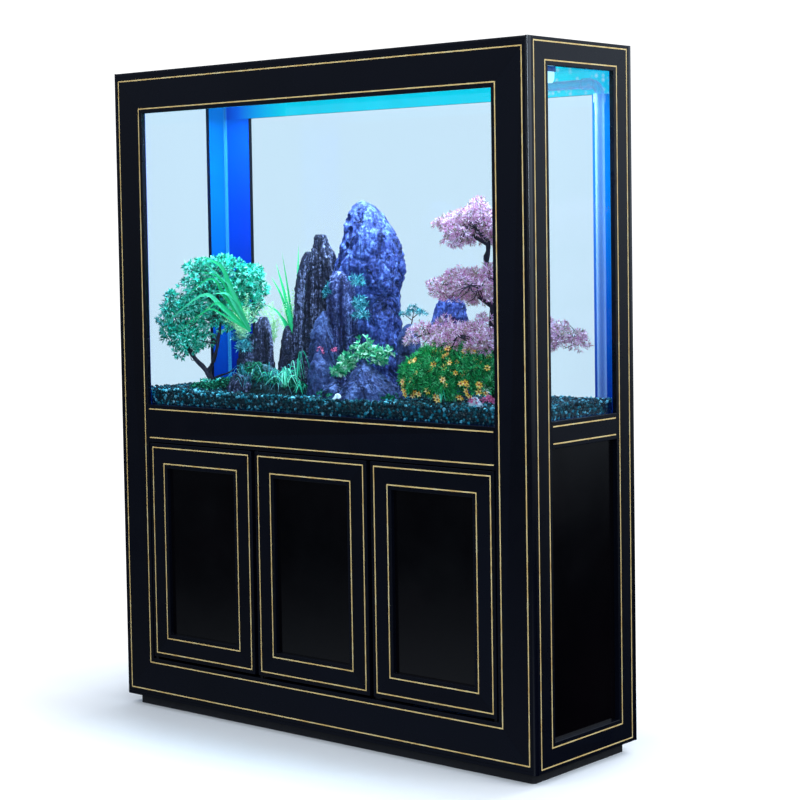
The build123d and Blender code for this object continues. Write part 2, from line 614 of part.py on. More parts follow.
PIPE_WALL = 1.5
VALVE_Z, VALVE_HALF = 466, 26
PUMP_SOCKET_LOW = 110
SPRAY_Z, SPRAY_END, ELBOW, SOCKET_RADIUS, SOCKET_LENGTH = 1405, 380, 22, 12.5, 18
JET_RADIUS, JET_COUNT, JET_PITCH, JET_FIRST = 1.5, 6, 18, 396
return_x, return_y = RETURN_XY
with BuildPart() as return_riser:
    rod(RETURN_XY, RETURN_RADIUS, (PUMP_SOCKET_LOW, VALVE_Z - VALVE_HALF))
    rod(
        RETURN_XY,
        RETURN_RADIUS - PIPE_WALL,
        (PUMP_SOCKET_LOW, VALVE_Z - VALVE_HALF),
        Mode.SUBTRACT,
    )
with BuildPart() as return_spray:
    with BuildLine():
        FilletPolyline(
            (return_x, return_y, VALVE_Z + VALVE_HALF),
            (return_x, return_y, SPRAY_Z),
            (SPRAY_END, return_y, SPRAY_Z),
            radius=ELBOW,
        )
    with BuildSketch(Plane.XY.offset(VALVE_Z + VALVE_HALF)):
        with Locations(RETURN_XY):
            Circle(RETURN_RADIUS)
    sweep()
    rod(RETURN_XY, SOCKET_RADIUS, (SPRAY_Z - ELBOW - SOCKET_LENGTH, SPRAY_Z - ELBOW))
    socket = (return_x - ELBOW - SOCKET_LENGTH, return_x - ELBOW)
    cross_rod(socket, (return_y, SPRAY_Z), SOCKET_RADIUS)
    with BuildLine():
        FilletPolyline(
            (return_x, return_y, VALVE_Z + VALVE_HALF),
            (return_x, return_y, SPRAY_Z),
            (SPRAY_END + PIPE_WALL, return_y, SPRAY_Z),
            radius=ELBOW,
        )
    with BuildSketch(Plane.XY.offset(VALVE_Z + VALVE_HALF)):
        with Locations(RETURN_XY):
            Circle(RETURN_RADIUS - PIPE_WALL)
    sweep(mode=Mode.SUBTRACT)
    for index in range(JET_COUNT):
        jet = (return_y - RETURN_RADIUS - 1, return_y)
        place = (JET_FIRST + index * JET_PITCH, SPRAY_Z)
        depth_rod(jet, place, JET_RADIUS, Mode.SUBTRACT)
save(group(return_riser.part, return_spray.part), "return_pipe")

OVERFLOW_LOW, OVERFLOW_HIGH, OVERFLOW_WALL = 300, 1385, 2
SLOT_LOW, SLOT_HIGH, SLOT_WIDTH, SLOT_COUNT, STRAINER_CAP = 1335, 1375, 4, 8, 4
with BuildPart() as overflow_pipe:
    rod(OVERFLOW_XY, OVERFLOW_RADIUS, (OVERFLOW_LOW, OVERFLOW_HIGH + STRAINER_CAP))
    rod(
        OVERFLOW_XY,
        OVERFLOW_RADIUS - OVERFLOW_WALL,
        (OVERFLOW_LOW, OVERFLOW_HIGH),
        Mode.SUBTRACT,
    )
    with BuildSketch(Plane.XY.offset(SLOT_LOW)):
        with Locations(OVERFLOW_XY):
            with PolarLocations(OVERFLOW_RADIUS, SLOT_COUNT):
                Rectangle(2 * OVERFLOW_WALL + 1, SLOT_WIDTH)
    extrude(amount=SLOT_HIGH - SLOT_LOW, mode=Mode.SUBTRACT)
save(overflow_pipe.part, "overflow_pipe")

# ---- Filter tank in the right-hand bay ---------------------------------------------------
SUMP_X, SUMP_Y, SUMP_GLASS, SUMP_TOP = (196, 566), (-90, 161), 5, 362
SUMP_FLOOR = FLOOR_TOP + SUMP_GLASS
sump_in_x = (SUMP_X[0] + SUMP_GLASS, SUMP_X[1] - SUMP_GLASS)
sump_in_y = (SUMP_Y[0] + SUMP_GLASS, SUMP_Y[1] - SUMP_GLASS)
baffle_y = (sump_in_y[0] + JOINT_GAP, sump_in_y[1] - JOINT_GAP)
UNDERFLOW_X, OVERFLOW_BAFFLE_X, BAFFLE = 400, 414, 4
UNDERFLOW_Z, OVERFLOW_BAFFLE_Z = (67, 330), (SUMP_FLOOR + JOINT_GAP, 290)
with BuildPart() as sump_tank:
    slab(SUMP_X, SUMP_Y, (FLOOR_TOP, SUMP_FLOOR))
    wall = (SUMP_FLOOR + JOINT_GAP, SUMP_TOP)
    for low, high in ((SUMP_Y[0], sump_in_y[0]), (sump_in_y[1], SUMP_Y[1])):
        slab(SUMP_X, (low, high), wall)
    for low, high in ((SUMP_X[0], sump_in_x[0]), (sump_in_x[1], SUMP_X[1])):
        slab((low, high), baffle_y, wall)
    slab((UNDERFLOW_X, UNDERFLOW_X + BAFFLE), baffle_y, UNDERFLOW_Z)
    slab((OVERFLOW_BAFFLE_X, OVERFLOW_BAFFLE_X + BAFFLE), baffle_y, OVERFLOW_BAFFLE_Z)
save(sump_tank.part, "sump_tank")

MEDIA_PLAY, SPONGE_LOW, SPONGE_HIGH, TRAY_HIGH, TRAY_WALL = 2, 52, 240, 285, 3
media_x = (sump_in_x[0] + MEDIA_PLAY, UNDERFLOW_X - MEDIA_PLAY)
media_y = (sump_in_y[0] + MEDIA_PLAY, sump_in_y[1] - MEDIA_PLAY)
with BuildPart() as filter_sponge:
    slab(media_x, media_y, (SPONGE_LOW, SPONGE_HIGH))
save(filter_sponge.part, "filter_sponge")

DRIP_RADIUS, DRIP_PITCH, DRIP_X, DRIP_Y = 3, 26, 6, 8
with BuildPart() as filter_tray:
    slab(media_x, media_y, (SPONGE_HIGH, TRAY_HIGH))
    slab(
        (media_x[0] + TRAY_WALL, media_x[1] - TRAY_WALL),
        (media_y[0] + TRAY_WALL, media_y[1] - TRAY_WALL),
        (SPONGE_HIGH + TRAY_WALL, TRAY_HIGH),
        Mode.SUBTRACT,
    )
    with BuildSketch(Plane.XY.offset(SPONGE_HIGH)):
        with Locations((sum(media_x) / 2, sum(media_y) / 2)):
            with GridLocations(DRIP_PITCH, DRIP_PITCH, DRIP_X, DRIP_Y):
                Circle(DRIP_RADIUS)
    extrude(amount=TRAY_WALL, mode=Mode.SUBTRACT)
save(filter_tray.part, "filter_tray")

# ---- Pump: housing, cover, impeller ------------------------------------------------------
PUMP_X, PUMP_Y, PUMP_TOP = (480, 557), (98, 150), 107
ROTOR_YZ, CAVITY_RADIUS, CAVITY_DEEP = (124, 77), 21, 24
COVER_THICK, COVER_RADIUS = 8, 24
SHAFT_RADIUS, SHAFT_X, BEARING_DEEP = 2, (476.2, 508), 5
INLET_RADIUS, INLET_COUNT, INLET_RING = 3.5, 6, 12
NOZZLE_RADIUS, NOZZLE_TOP, PASSAGE = 11.5, 122, 5
cavity_x = (PUMP_X[0], PUMP_X[0] + CAVITY_DEEP)
with BuildPart() as pump_housing:
    slab(PUMP_X, PUMP_Y, (SUMP_FLOOR, PUMP_TOP))
    fillet(pump_housing.edges().filter_by(Axis.X), LAMP_ROUND)
    rod(RETURN_XY, NOZZLE_RADIUS, (PUMP_TOP, NOZZLE_TOP))
    rod(RETURN_XY, RETURN_RADIUS, (PUMP_SOCKET_LOW, NOZZLE_TOP), Mode.SUBTRACT)
    rod(RETURN_XY, PASSAGE, (ROTOR_YZ[1], PUMP_SOCKET_LOW), Mode.SUBTRACT)
    cross_rod((cavity_x[1], return_x), (return_y - 2, ROTOR_YZ[1]), PASSAGE, Mode.SUBTRACT)
    cross_rod(cavity_x, ROTOR_YZ, CAVITY_RADIUS, Mode.SUBTRACT)
    bearing = (cavity_x[1], cavity_x[1] + BEARING_DEEP)
    cross_rod(bearing, ROTOR_YZ, SHAFT_RADIUS + RUNNING_FIT, Mode.SUBTRACT)
save(pump_housing.part, "pump_housing")

with BuildPart() as pump_cover:
    cross_rod((PUMP_X[0] - COVER_THICK, PUMP_X[0]), ROTOR_YZ, COVER_RADIUS)
    with BuildSketch(Plane.YZ.offset(PUMP_X[0] - COVER_THICK)):
        with Locations(ROTOR_YZ):
            with PolarLocations(INLET_RING, INLET_COUNT):
                Circle(INLET_RADIUS)
    extrude(amount=COVER_THICK, mode=Mode.SUBTRACT)
    bearing = (PUMP_X[0] - BEARING_DEEP, PUMP_X[0])
    cross_rod(bearing, ROTOR_YZ, SHAFT_RADIUS + RUNNING_FIT, Mode.SUBTRACT)
save(pump_cover.part, "pump_cover")

HUB_RADIUS, ROTOR_RADIUS, BLADE_THICK, BLADE_COUNT = 5, 19, 1.6, 6
BLADE_X, DISC_X, HUB_X = (484, 501), (500, 502), (482, 502)
with BuildPart() as pump_impeller:
    cross_rod(SHAFT_X, ROTOR_YZ, SHAFT_RADIUS)
    cross_rod(HUB_X, ROTOR_YZ, HUB_RADIUS)
    cross_rod(DISC_X, ROTOR_YZ, ROTOR_RADIUS)
    with BuildSketch(Plane.YZ.offset(BLADE_X[0])):
        with Locations(ROTOR_YZ):
            with PolarLocations(ROTOR_RADIUS / 2, BLADE_COUNT):
                Rectangle(ROTOR_RADIUS - 1, BLADE_THICK)
    extrude(amount=BLADE_X[1] - BLADE_X[0])
save(pump_impeller.part, "pump_impeller")

# ---- Ball valve on the return riser ------------------------------------------------------
VALVE_RADIUS, BALL_RADIUS, BALL_BORE, STEM_RADIUS = 18, 12, 8.5, 3
LEVER_Y, LEVER_LENGTH, LEVER_HALF, LEVER_ROUND = (108, 112), 66, 7, 4
valve_centre = (return_x, return_y, VALVE_Z)
with BuildPart() as valve_body:
    rod(RETURN_XY, VALVE_RADIUS, (VALVE_Z - VALVE_HALF, VALVE_Z + VALVE_HALF))
    rod(RETURN_XY, BALL_BORE, (VALVE_Z - VALVE_HALF, VALVE_Z + VALVE_HALF), Mode.SUBTRACT)
    with Locations(valve_centre):
        Sphere(BALL_RADIUS + RUNNING_FIT, mode=Mode.SUBTRACT)
    stem_hole = (return_y - VALVE_RADIUS, return_y)
    depth_rod(stem_hole, (return_x, VALVE_Z), STEM_RADIUS + RUNNING_FIT, Mode.SUBTRACT)
save(valve_body.part, "valve_body")

with BuildPart() as valve_ball:
    with Locations(valve_centre):
        Sphere(BALL_RADIUS)
    rod(RETURN_XY, BALL_BORE, (VALVE_Z - BALL_RADIUS, VALVE_Z + BALL_RADIUS), Mode.SUBTRACT)
stem_end = return_y - BALL_RADIUS - JOINT_GAP
with BuildPart() as valve_stem:
    depth_rod((LEVER_Y[1], stem_end), (return_x, VALVE_Z), STEM_RADIUS)
    slab(
        (return_x - LEVER_HALF, return_x + LEVER_HALF),
        LEVER_Y,
        (VALVE_Z - LEVER_LENGTH, VALVE_Z + LEVER_HALF),
    )
    fillet(valve_stem.edges().filter_by(Axis.Y).group_by(Axis.Z)[0], LEVER_ROUND)
save(group(valve_ball.part, valve_stem.part), "valve_lever")

# ---- Landscape: gravel, rocks, plants ----------------------------------------------------
GRAVEL_PLAY, GRAVEL_CORNER = 0.4, 7
with BuildPart() as gravel_bed:
    slab(
        (-WATER_X + GRAVEL_PLAY, WATER_X - GRAVEL_PLAY),
        (-WATER_Y + GRAVEL_PLAY, WATER_Y - GRAVEL_PLAY),
        (GLASS_LOW, GRAVEL_TOP),
    )
    chamfer(gravel_bed.edges().filter_by(Axis.Z), GRAVEL_CORNER)
    for place, _ in pipe_places:
        rod(place, BULKHEAD_FLANGE + JOINT_GAP, (GLASS_LOW, GRAVEL_TOP), Mode.SUBTRACT)
save(gravel_bed.part, "gravel_bed")

# Each rock: middle (x, y), half width and half depth at its foot, top height, narrowing.
ROCKS = (
    (5, 30, 90, 60, 1168, 0.45),
    (-152, 10, 56, 40, 1098, 0.4),
    (-272, -40, 36, 30, 908, 0.6),
    (-70, -72, 36, 24, 905, 0.2),
    (105, -95, 58, 34, 828, 0.15),
    (-150, -85, 34, 26, 830, 0.3),
    (175, 95, 34, 26, 962, 0.5),
)
rocks = []
for x, y, half_width, half_depth, top, narrowing in ROCKS:
    foot = (x, y, GRAVEL_TOP, half_width, half_depth)
    middle = (x, y, (GRAVEL_TOP + top) / 2, half_width * 0.95, half_depth * 0.95)
    crest = (x, y, top, half_width * narrowing, half_depth * narrowing)
    rocks.append(lofted((foot, middle, crest)))
save(group(*rocks), "rocks")


def crown(x, y, low, high, half_width, half_depth, shrink=0.5):
    """A leafy head: widest half-way up."""
    return lofted(
        (
            (x, y, low, half_width * shrink, half_depth * shrink),
            (x, y, (low + high) / 2, half_width, half_depth),
            (x, y, high, half_width * shrink, half_depth * shrink),
        )
    )


GREEN_XY, GREEN_TRUNK = (-425, -50), 10
with BuildPart() as bonsai_green:
    rod(GREEN_XY, GREEN_TRUNK, (GRAVEL_TOP, 900))
    add(crown(*GREEN_XY, 835, 1060, 114, 95))
save(bonsai_green.part, "bonsai_green")

PINK_XY, PINK_TRUNK = (360, -5), 10
with BuildPart() as bonsai_pink:
    rod(PINK_XY, PINK_TRUNK, (GRAVEL_TOP, 1120))
    add(crown(*PINK_XY, 842, 925, 195, 115, 0.7))
    add(crown(*PINK_XY, 938, 1034, 105, 90, 0.7))
    add(crown(*PINK_XY, 1056, 1176, 98, 85, 0.6))
save(bonsai_pink.part, "bonsai_pink")

BUSH_XY = (288, -88)
with BuildPart() as flower_bush:
    add(crown(*BUSH_XY, GRAVEL_TOP, 838, 92, 60, 0.6))
save(flower_bush.part, "flower_bush")
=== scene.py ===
import json
import math
import random
from itertools import product

import bpy
from mathutils import Matrix, Vector, noise


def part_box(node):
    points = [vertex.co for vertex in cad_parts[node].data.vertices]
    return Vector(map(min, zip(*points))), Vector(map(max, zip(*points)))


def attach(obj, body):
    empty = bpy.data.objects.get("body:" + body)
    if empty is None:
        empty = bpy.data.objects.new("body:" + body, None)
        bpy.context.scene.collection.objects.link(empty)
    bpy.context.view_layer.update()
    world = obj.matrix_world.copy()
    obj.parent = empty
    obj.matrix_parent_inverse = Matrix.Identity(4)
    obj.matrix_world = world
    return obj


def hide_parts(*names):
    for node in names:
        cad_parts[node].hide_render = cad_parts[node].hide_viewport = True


# A see-through divider aquarium on its cabinet: lacquered casing, lit tank, stones and plants.
# Lengths of shapes are millimetres and turn into metres in add_piece(). Patterns, lamps and the camera
# are in metres.

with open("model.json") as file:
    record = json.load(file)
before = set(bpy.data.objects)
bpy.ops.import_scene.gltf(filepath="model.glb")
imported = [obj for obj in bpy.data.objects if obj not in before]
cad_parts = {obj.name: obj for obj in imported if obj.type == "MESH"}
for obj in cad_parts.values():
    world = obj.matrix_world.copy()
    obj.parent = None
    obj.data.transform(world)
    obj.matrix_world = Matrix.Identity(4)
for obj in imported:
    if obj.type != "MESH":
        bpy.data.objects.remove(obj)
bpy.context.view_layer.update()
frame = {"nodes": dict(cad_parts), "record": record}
MM = 0.001
nodes = frame["nodes"]


def mm_box(node):
    """Low and high corners of a CAD node, in millimetres."""
    low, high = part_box(node)
    return Vector(low) / MM, Vector(high) / MM


# ---- Camera ------------------------------------------------------------------------------
CAMERA_PLACE = Vector((2.9010, -3.2685, 1.1013))
CAMERA_YAW, CAMERA_PITCH, CAMERA_ROLL = 40.491, 3.231, 0.899  # degrees
CAMERA_LENS, CAMERA_SENSOR, CAMERA_SHIFT = 88.78, 36, -0.07


def add_camera():
    """The camera looks along yaw from +Y towards -X, tipped down, with a slight roll."""
    yaw, pitch, roll = (math.radians(a) for a in (CAMERA_YAW, CAMERA_PITCH, CAMERA_ROLL))
    ahead = Vector((-math.sin(yaw) * math.cos(pitch), math.cos(yaw) * math.cos(pitch), -math.sin(pitch)))
    right = Vector((math.cos(yaw), math.sin(yaw), 0))
    down = ahead.cross(right)
    rolled_right = math.cos(roll) * right + math.sin(roll) * down
    rolled_down = -math.sin(roll) * right + math.cos(roll) * down
    data = bpy.data.cameras.new("camera")
    data.lens = CAMERA_LENS
    data.sensor_width = CAMERA_SENSOR
    data.shift_y = CAMERA_SHIFT
    camera = bpy.data.objects.new("camera", data)
    bpy.context.collection.objects.link(camera)
    turn = Matrix((rolled_right, -rolled_down, -ahead)).transposed()
    camera.matrix_world = Matrix.Translation(CAMERA_PLACE) @ turn.to_4x4()
    bpy.context.scene.camera = camera


add_camera()
bpy.context.scene.view_settings.view_transform = "Standard"


# ---- Materials ---------------------------------------------------------------------------
class Shading:
    """One tree of shader nodes."""

    def __init__(self, tree, output):
        self.tree = tree
        self.output = output

    def node(self, kind, **inputs):
        """A node with plain values or links put on its inputs by name."""
        made = self.tree.nodes.new(kind)
        for key, value in inputs.items():
            self.feed(made.inputs[key.replace("_", " ")], value)
        return made

    def feed(self, socket, value):
        """Puts a link or a plain value on a socket."""
        if isinstance(value, bpy.types.NodeSocket):
            self.tree.links.new(value, socket)
        else:
            socket.default_value = value

    def levels(self, factor, low, high, start=0.0, finish=1.0, ease="LINEAR"):
        """Turns a pattern between start and finish into one between low and high."""
        made = self.node(
            "ShaderNodeMapRange", Value=factor, From_Min=start, From_Max=finish, To_Min=low, To_Max=high
        )
        made.interpolation_type = ease
        return made.outputs["Result"]

    def combined(self, operation, first, second, kind="ShaderNodeMath"):
        """Two values or vectors put through one operation."""
        made = self.tree.nodes.new(kind)
        made.operation = operation
        self.feed(made.inputs[0], first)
        self.feed(made.inputs[1], second)
        return made

    def product(self, first, second):
        return self.combined("MULTIPLY", first, second).outputs[0]

    def show_mix(self, factor, first, second):
        """Puts two shaders, mixed by a factor, on the tree's output."""
        blend = self.node("ShaderNodeMixShader", Fac=factor)
        self.tree.links.new(first.outputs[0], blend.inputs[1])
        self.tree.links.new(second.outputs[0], blend.inputs[2])
        self.tree.links.new(blend.outputs[0], self.output.inputs["Surface"])


class Surface(Shading):
    """A procedural material: one Principled shader fed by patterns in the object's own space."""

    def __init__(self, name, **values):
        self.material = bpy.data.materials.new(name)
        self.material.use_nodes = True
        tree = self.material.node_tree
        super().__init__(tree, tree.nodes["Material Output"])
        self.shader = tree.nodes["Principled BSDF"]
        self.place = tree.nodes.new("ShaderNodeTexCoord").outputs["Object"]
        for socket, value in values.items():
            self.shader.inputs[socket.replace("_", " ")].default_value = value

    def stretched(self, stretch):
        """The object's coordinates, scaled along each axis."""
        return self.node("ShaderNodeMapping", Vector=self.place, Scale=stretch).outputs["Vector"]

    def noise(self, scale, detail=4, roughness=0.55, stretch=(1, 1, 1), distortion=0):
        made = self.node(
            "ShaderNodeTexNoise",
            Vector=self.stretched(stretch),
            Scale=scale,
            Detail=detail,
            Roughness=roughness,
            Distortion=distortion,
        )
        return made.outputs["Fac"]

    def cells(self, scale):
        vector = self.stretched((1, 1, 1))
        return self.node("ShaderNodeTexVoronoi", Vector=vector, Scale=scale).outputs["Distance"]

    def ramp(self, factor, stops):
        """A colour ramp; stops are (position, colour) pairs."""
        made = self.node("ShaderNodeValToRGB", Fac=factor)
        ramp = made.color_ramp
        while len(ramp.elements) < len(stops):
            ramp.elements.new(0.5)
        for element, (position, colour) in zip(ramp.elements, stops):
            element.position = position
            element.color = (*colour, 1)
        return made.outputs["Color"]

    def mixed(self, factor, first, second, blend="MIX"):
        """Two colours mixed by a factor."""
        made = self.tree.nodes.new("ShaderNodeMix")
        made.data_type = "RGBA"
        made.blend_type = blend
        for index, value in ((0, factor), (6, first), (7, second)):
            if isinstance(value, tuple):
                value = (*value, 1)
            self.feed(made.inputs[index], value)
        return made.outputs[2]

    def per_leaf(self):
        """A random number for each separate leaf."""
        return self.tree.nodes.new("ShaderNodeNewGeometry").outputs["Random Per Island"]

    def colour(self, value):
        self.feed(self.shader.inputs["Base Color"], value)
        return self

    def rough(self, value):
        self.feed(self.shader.inputs["Roughness"], value)
        return self

    def bump(self, height, distance, strength=1.0):
        made = self.node("ShaderNodeBump", Height=height, Distance=distance, Strength=strength)
        self.tree.links.new(made.outputs["Normal"], self.shader.inputs["Normal"])
        return self


def lacquer(name="black_lacquer", low=0.22, high=0.34, shine=0.3):
    """Near-black lacquer on board: faint orange peel, dust, and a tone that differs from board to board."""
    s = Surface(name, Specular_IOR_Level=shine)
    cloud = s.noise(2.2, 3)
    paint = s.ramp(cloud, ((0.3, (0.0009, 0.0013, 0.0036)), (0.7, (0.0018, 0.0024, 0.0065))))
    s.colour(s.mixed(s.levels(s.per_leaf(), 0.0, 0.5), paint, (0.0026, 0.0042, 0.010)))
    s.rough(s.levels(s.noise(14, 5), low, high))
    return s.bump(s.noise(420, 2), 0.00012, 0.35).material


def panel_gloss():
    """Door and side panels: the same black, polished until it mirrors the room."""
    s = Surface("panel_gloss", Specular_IOR_Level=0.8)
    cloud = s.noise(3.1, 3)
    s.colour(s.ramp(cloud, ((0.3, (0.0006, 0.0008, 0.0014)), (0.7, (0.0018, 0.0012, 0.0020)))))
    s.rough(s.levels(s.noise(9, 4), 0.08, 0.2))
    return s.bump(s.noise(60, 2), 0.0001, 0.15).material


def brass():
    """Brushed pale brass lines with small tarnish spots."""
    s = Surface("brass_line", Metallic=0.15, Specular_IOR_Level=0.6)
    tone = s.noise(38, 4)
    s.colour(s.ramp(tone, ((0.3, (0.80, 0.50, 0.16)), (0.55, (0.98, 0.72, 0.30)), (0.8, (1.0, 0.86, 0.48)))))
    s.rough(s.levels(s.noise(160, 3, stretch=(1, 1, 0.15)), 0.3, 0.5))
    return s.bump(s.noise(500, 2), 0.0001, 0.3).material


def dark_board():
    """Matt dark board inside the cabinet and on the plinth."""
    s = Surface("dark_board")
    grain = s.noise(30, 5, stretch=(0.12, 1, 1))
    s.colour(s.ramp(grain, ((0.3, (0.006, 0.006, 0.008)), (0.75, (0.016, 0.015, 0.018)))))
    s.rough(s.levels(s.noise(80, 3), 0.5, 0.75))
    return s.bump(grain, 0.0003, 0.25).material


def glazing(name, tint, streak):
    """Clear float glass: tinted see-through with Fresnel gloss and faint wiping marks."""
    s = Surface(name)
    s.tree.nodes.remove(s.shader)
    wiping = s.noise(3.5, 5, stretch=(1, 1, 0.3), distortion=0.6)
    clear = s.node("ShaderNodeBsdfTransparent", Color=s.ramp(wiping, ((0.35, tint), (0.75, streak))))
    gloss = s.node("ShaderNodeBsdfGlossy", Color=(0.9, 0.96, 1, 1), Roughness=s.levels(wiping, 0.02, 0.07))
    tilt = s.node("ShaderNodeLayerWeight", Blend=0.5).outputs["Facing"]
    grazing = s.combined("POWER", tilt, 5).outputs[0]
    s.show_mix(s.levels(grazing, 0.02, 0.85), clear, gloss)
    return s.material


def veiled(name, tint, veil, cover, glow):
    """Clear plastic or rubber with a pale veil in it, denser towards its edges, that glows in the veil's
    colour: a painted glow for the light it catches.
    """
    # Painted glow: the veil's colour as emission, at the strength glow.
    s = Surface(name, Specular_IOR_Level=0.6, Emission_Color=(*veil, 1), Emission_Strength=glow)
    cloud = s.noise(30, 4, stretch=(1, 1, 0.2))
    s.colour(s.ramp(cloud, ((0.3, tuple(v * 0.8 for v in veil)), (0.7, veil))))
    s.rough(s.levels(cloud, 0.12, 0.3))
    clear = s.node("ShaderNodeBsdfTransparent", Color=(*tint, 1))
    tilt = s.node("ShaderNodeLayerWeight", Blend=0.5).outputs["Facing"]
    s.show_mix(s.levels(tilt, cover, cover + 0.45), clear, s.shader)
    return s.material


def moulded(name, colour, shade, roughness):
    """Moulded plastic with fine grain."""
    s = Surface(name)
    s.colour(s.ramp(s.noise(25, 4), ((0.3, shade), (0.7, colour))))
    s.rough(s.levels(s.noise(120, 3), roughness - 0.08, roughness + 0.1))
    return s.bump(s.noise(600, 2), 0.0001, 0.3).material


def metal(name, colour, shade, roughness):
    """Plain metal with a brushed finish."""
    s = Surface(name, Metallic=1.0)
    s.colour(s.ramp(s.noise(60, 4), ((0.3, shade), (0.7, colour))))
    s.rough(s.levels(s.noise(300, 3, stretch=(0.05, 1, 1)), roughness - 0.07, roughness + 0.1))
    return s.bump(s.noise(500, 2, stretch=(0.05, 1, 1)), 0.0001, 0.25).material


def opal():
    """Lit opal diffuser: cold white with brighter spots over its diodes."""
    s = Surface("lamp_opal", Emission_Strength=1.4)
    spots = s.noise(60, 2, stretch=(1, 0.2, 0.2))
    s.colour((0.75, 0.9, 1, 1))
    s.feed(
        s.shader.inputs["Emission Color"],
        s.ramp(spots, ((0.35, (0.35, 0.80, 0.95)), (0.7, (0.85, 0.98, 1.0)))),
    )
    return s.rough(s.levels(spots, 0.35, 0.5)).material


def film(name, stops, span, strength, band=False):
    """Glossy blue film behind the tank's edges, lit with painted light. Its colour and its streaky glow
    follow height as a painted falloff of the tank lamp's light, or length along a band, which also takes
    painted glints near the pipe.
    """
    s = Surface(name, Roughness=0.25, Specular_IOR_Level=0.12)
    split = s.node("ShaderNodeSeparateXYZ", Vector=s.place)
    # Painted light: with height the ramp falls off like the tank lamp's light; along a band it darkens
    # towards the left end.
    paint = s.ramp(s.levels(split.outputs["X" if band else "Z"], 0, 1, *span), stops)
    s.colour(s.mixed(0.82, paint, (0.0, 0.01, 0.05)))
    if band:
        # Painted glints: white sparkles over the band near the pipe.
        painted_glint = s.levels(s.cells(70), 1, 0, 0, 0.42)
        painted_glint_zone = s.levels(split.outputs["X"], 0, 0.9, 0.25, 0.42)
        paint = s.mixed(s.product(painted_glint, painted_glint_zone), paint, (0.8, 0.98, 1.0))
    s.feed(s.shader.inputs["Emission Color"], paint)
    # Painted glow: the emission's strength varies in streaks.
    painted_glow_streaks = s.noise(9, 4, stretch=(1.5, 1.5, 0.2))
    glow = s.levels(painted_glow_streaks, strength * 0.82, strength * 1.18)
    s.feed(s.shader.inputs["Emission Strength"], glow)
    return s.material


def stone(name, dark, middle, light, streak=0.5, scale=26, stops=(0.38, 0.5, 0.64), veins=0.6):
    """Layered stone: beds along its height, pits, pale painted highlights on its raised parts, and dark
    cracks.
    """
    s = Surface(name)
    beds = s.noise(scale, 8, 0.62, stretch=(1, 1, streak), distortion=0.3)
    pits = s.noise(170, 5, 0.7)
    relief_and_painted_highlights = s.mixed(0.45, beds, pits)
    # Painted highlights: the ramp's pale end falls on the raised parts of the relief.
    paint = s.ramp(relief_and_painted_highlights, ((stops[0], dark), (stops[1], middle), (stops[2], light)))
    cracks = s.noise(11, 4, 0.5, stretch=(1, 1, 0.7), distortion=1.2)
    open_cracks = s.ramp(cracks, ((0.47, (1, 1, 1)), (0.5, (0.05, 0.05, 0.08)), (0.53, (1, 1, 1))))
    s.colour(s.mixed(veins, paint, open_cracks, "MULTIPLY"))
    s.rough(s.levels(pits, 0.4, 0.85))
    return s.bump(s.mixed(0.35, relief_and_painted_highlights, open_cracks), 0.008, 1.0).material


def leafy(name, colours, glow):
    """Leaves that each take their own tone, with a faint glow for the light that passes through them."""
    s = Surface(name, Specular_IOR_Level=0.4, Emission_Strength=glow)
    step = 1 / (len(colours) - 1)
    own = s.ramp(s.per_leaf(), [(index * step, colour) for index, colour in enumerate(colours)])
    patch = s.noise(90, 3)
    own = s.mixed(s.levels(patch, 0.0, 0.35), own, colours[0])
    s.colour(own)
    s.feed(s.shader.inputs["Emission Color"], own)
    s.rough(s.levels(patch, 0.45, 0.70))
    return s.bump(s.noise(350, 2), 0.0004, 0.4).material


def bark(name, dark, light):
    """Bark with fissures along the branch."""
    s = Surface(name)
    fissures = s.noise(60, 6, stretch=(1, 1, 0.3))
    s.colour(s.ramp(fissures, ((0.35, dark), (0.7, light))))
    s.rough(s.levels(fissures, 0.6, 0.9))
    return s.bump(fissures, 0.002, 0.8).material


def pebbles():
    """Dark green-black chips with wet-looking faces; the palest, cyan ones are painted sparkle highlights."""
    s = Surface("gravel", Specular_IOR_Level=0.7)
    # Painted highlights: the ramp's top stops make a few chips pale cyan sparkles.
    own = s.ramp(
        s.per_leaf(),
        (
            (0.0, (0.0, 0.006, 0.010)),
            (0.5, (0.0, 0.045, 0.056)),
            (0.72, (0.003, 0.13, 0.15)),
            (0.88, (0.01, 0.33, 0.42)),
            (1.0, (0.25, 0.75, 0.85)),
        ),
    )
    s.colour(s.mixed(s.levels(s.noise(300, 3), 0.0, 0.5), own, (0.004, 0.014, 0.018)))
    s.rough(s.levels(s.noise(200, 3), 0.12, 0.5))
    return s.bump(s.noise(500, 3), 0.0006, 0.6).material


def foam():
    """Open-cell filter foam."""
    s = Surface("sponge")
    holes = s.cells(420)
    s.colour(s.ramp(holes, ((0.05, (0.004, 0.01, 0.03)), (0.5, (0.03, 0.07, 0.18)))))
    s.rough(s.levels(holes, 0.8, 1.0))
    return s.bump(holes, 0.0015, 0.9).material


PANEL = panel_gloss()
BEAD = lacquer("bead_lacquer", 0.1, 0.18, 1.0)
DARK_STEEL = metal("dark_steel", (0.030, 0.030, 0.034), (0.018, 0.018, 0.022), 0.45)
FILM_HEIGHTS, FILM_LENGTH = (0.72, 1.44), (-0.59, 0.59)  # where the films' colours start and end, in metres; with height this is a painted falloff of the tank lamp's light
